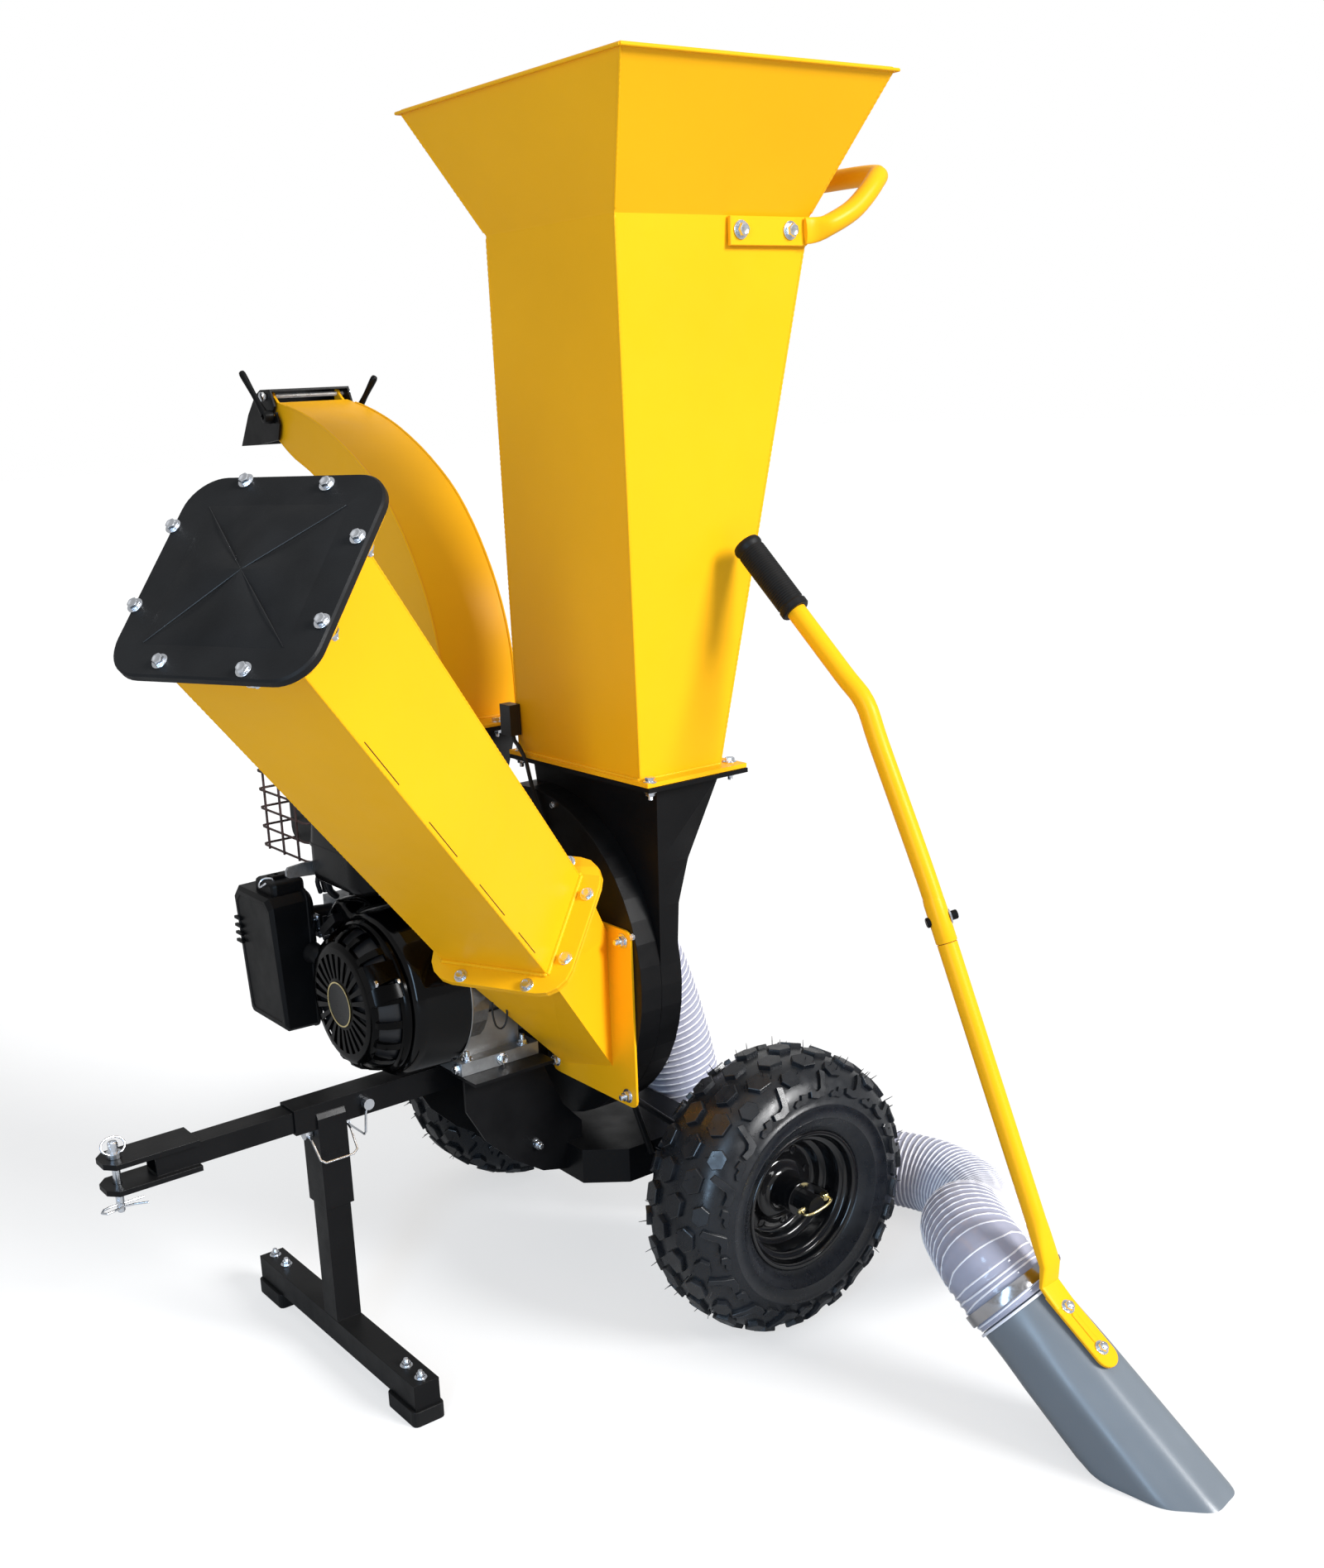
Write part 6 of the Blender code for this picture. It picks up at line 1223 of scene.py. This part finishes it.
# bright bracket behind the air cleaner, with its two screws
s = Shape()
block(s, (-0.3790, 0.1205, 0.4840), (-0.3765, 0.1300, 0.5140), 0.0008)
block(s, (-0.3790, 0.0900, 0.4880), (-0.3765, 0.1260, 0.4965), 0.0008)
lathe(s, [(0.0, 0.0), (0.0036, 0.0), (0.0036, 0.0050), (0.0, 0.0050)], (-0.3786, 0.1255, 0.5095), Vector((-1, 0, 0)), 14, caps=False)
lathe(s, [(0.0, 0.0), (0.0042, 0.0), (0.0042, 0.0060), (0.0, 0.0060)], (-0.3786, 0.1100, 0.4922), Vector((-1, 0, 0)), 14, caps=False)
lathe(s, [(0.0, 0.0), (0.0030, 0.0), (0.0030, 0.0080), (0.0, 0.0080)], (-0.3786, 0.0945, 0.4922), Vector((-1, 0, 0)), 14, caps=False)
s.build("carburettor_bracket", ZINC, "machine", angle=30)
# bright joint ring between the blower and the crankcase
s = Shape()
lathe(s, [(0.0800, 0.0), (0.1010, 0.0), (0.1014, 0.0008), (0.1010, 0.0022), (0.0800, 0.0022)], (-0.3028, 0, CRANK_Z), X, 72, closed=True)
s.build("crankcase_joint_ring", CAST, "machine", angle=30)

# muffler cage: round wires
s = Shape()
for k in range(5):
    z = 0.5760 + 0.0240 * k
    pts = [(-0.240, 0.1370, z), (-0.300, 0.1370, z), (-0.3665, 0.1370, z), (-0.3725, 0.1387, z), (-0.3750, 0.1450, z), (-0.3750, 0.2010, z), (-0.3750, 0.2570, z), (-0.3725, 0.2633, z), (-0.3665, 0.2650, z), (-0.300, 0.2650, z), (-0.240, 0.2650, z)]
    tube(s, pts, 0.0015, 10)
for x, y in ((-0.3768, 0.1600), (-0.3768, 0.2010), (-0.3768, 0.2420), (-0.2950, 0.2668), (-0.2950, 0.1352)):
    tube(s, [(x, y, 0.5740), (x, y, 0.6740)], 0.0016, 10)
cage = s.build("muffler_cage_wires", RUST, "machine", angle=60)
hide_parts("muffler_guard")

# hitch pin ring
s = Shape()
ring = [Vector((-0.7065 + 0.0135 * math.cos(a), 0.0135 * math.sin(a) * 0.35, 0.3525 + 0.0085 * math.sin(a))) for a in [2 * math.pi * k / 28 for k in range(28)]]
# closed ring of wire
rr = []
for i, p in enumerate(ring):
    t = (ring[(i + 1) % 28] - ring[i - 1]).normalized()
    a, b, _z = basis(t, Z)
    rr.append([p + (a * math.cos(2 * math.pi * k / 8) + b * math.sin(2 * math.pi * k / 8)) * 0.0012 for k in range(8)])
s.rings(rr, closed=True)
s.build("hitch_pin_ring", ZINC, "hitch_pin", angle=60)

# ================================================================ carried CAD nodes
FINISH = {
    "hopper": YELLOW, "chipper_chute_upper": YELLOW, "chipper_chute_lower": YELLOW,
    "chassis": BLACK, "brace_near": BLACK, "brace_far": BLACK, "drawbar_tube": BLACK, "drawbar_inner": BLACK, "stand_leg": BLACK,
    "housing_front": BLACK, "housing_rear": BLACK, "hose_port": BLACK, "deflector": BLACK, "muffler": BLACK, "throttle_lever": CAST,
    "foot_pad_near": RUBBER, "foot_pad_far": RUBBER, "hopper_flap": RUBBER, "safety_switch": CORD,
    "hitch_pin": ZINC, "hitch_clip": ZINC, "stand_pin": ZINC, "drawbar_pin": ZINC, "deflector_rod": BRIGHT,
    "axle": BLACK, "crankshaft": STEEL, "knife_disc": STEEL, "crankcase": CAST, "cylinder_head": CAST, "flywheel_fan": CAST, "carburettor": CAST,
    "oil_dipstick": PLASTIC, "recoil_grip": PLASTIC, "choke_lever": PLASTIC, "engine_switch": PLASTIC,
}
BEVEL = {"hopper": 0.0006, "chipper_chute_upper": 0.0006, "chipper_chute_lower": 0.0006, "chassis": 0.0010, "drawbar_tube": 0.0016, "drawbar_inner": 0.0010,
         "stand_leg": 0.0018, "rubber_guard": 0.0014, "crankcase": 0.0012, "blower_housing": 0.0016, "muffler": 0.0020, "foot_pad_near": 0.0015, "foot_pad_far": 0.0015}
for name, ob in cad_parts.items():
    if ob.hide_render:
        continue
    mt = FINISH.get(name, BLACK)
    if not ob.material_slots:
        ob.data.materials.append(mt)
    for sl in ob.material_slots:
        sl.material = mt
    wd = ob.modifiers.new("weld", 'WELD')
    wd.merge_threshold = 0.00001
    bv = ob.modifiers.new("edge", 'BEVEL')
    bv.width = BEVEL.get(name, 0.0005)
    bv.segments = 2
    bv.limit_method = 'ANGLE'
    bv.angle_limit = math.radians(40)
    bv.use_clamp_overlap = True

# ================================================================ floor and light
fl = bpy.data.meshes.new("floor")
fl.from_pydata([(-30, -30, -0.0005), (30, -30, -0.0005), (30, 30, -0.0005), (-30, 30, -0.0005)], [], [(0, 1, 2, 3)])
floor = bpy.data.objects.new("floor", fl)
bpy.context.scene.collection.objects.link(floor)
fm = principled("floor_pale", (0.36, 0.36, 0.36), 0.8, spec=0.05, vary=0.01, bump=0.0)
fp = fm.node_tree.nodes["Principled BSDF"]
fp.inputs["Emission Color"].default_value = (1, 1, 1, 1)
flp = fm.node_tree.nodes.new("ShaderNodeLightPath")
fmr = fm.node_tree.nodes.new("ShaderNodeMapRange")
fmr.inputs["To Min"].default_value = 0.10
fmr.inputs["To Max"].default_value = 0.62
fm.node_tree.links.new(flp.outputs["Is Camera Ray"], fmr.inputs["Value"])
fm.node_tree.links.new(fmr.outputs["Result"], fp.inputs["Emission Strength"])
fl.materials.append(fm)

world = bpy.data.worlds.new("studio")
bpy.context.scene.world = world
world.use_nodes = True
wn, wl_ = world.node_tree.nodes, world.node_tree.links
bg = wn["Background"]
bg.inputs["Color"].default_value = (1.0, 1.0, 1.0, 1)
lp = wn.new("ShaderNodeLightPath")
mrw = wn.new("ShaderNodeMapRange")
mrw.inputs["To Min"].default_value = 0.42
mrw.inputs["To Max"].default_value = 1.0
wl_.new(lp.outputs["Is Camera Ray"], mrw.inputs["Value"])
wl_.new(mrw.outputs["Result"], bg.inputs["Strength"])


def area(name, loc, target, size, power, colour=(1, 1, 1)):
    ld = bpy.data.lights.new(name, 'AREA')
    ld.shape = 'RECTANGLE'
    ld.size, ld.size_y = size
    ld.energy = power
    ld.color = colour
    ob = bpy.data.objects.new(name, ld)
    bpy.context.scene.collection.objects.link(ob)
    ob.location = Vector(loc) + OFF
    ob.rotation_mode = 'QUATERNION'
    ob.rotation_quaternion = (Vector(target) - Vector(loc)).to_track_quat("-Z", "Y")


def sun(name, direction, strength, angle):
    ld = bpy.data.lights.new(name, 'SUN')
    ld.energy = strength
    ld.angle = math.radians(angle)
    ob = bpy.data.objects.new(name, ld)
    bpy.context.scene.collection.objects.link(ob)
    ob.rotation_mode = 'QUATERNION'
    ob.rotation_quaternion = Vector(direction).to_track_quat("-Z", "Y")


sun("key", (-0.34, 0.84, -0.50), 4.35, 22)
sun("overhead", (0.10, 0.05, -1.0), 0.38, 70)
area("cool_side", (-2.65, -2.10, 1.40), (0.0, -0.28, 0.20), (0.55, 2.4), 52, (0.50, 0.73, 1.0))
area("rim", (2.6, 2.8, 2.4), (0.0, 0.0, 0.6), (1.6, 2.4), 5)
bpy.context.scene.view_settings.view_transform = 'Standard'
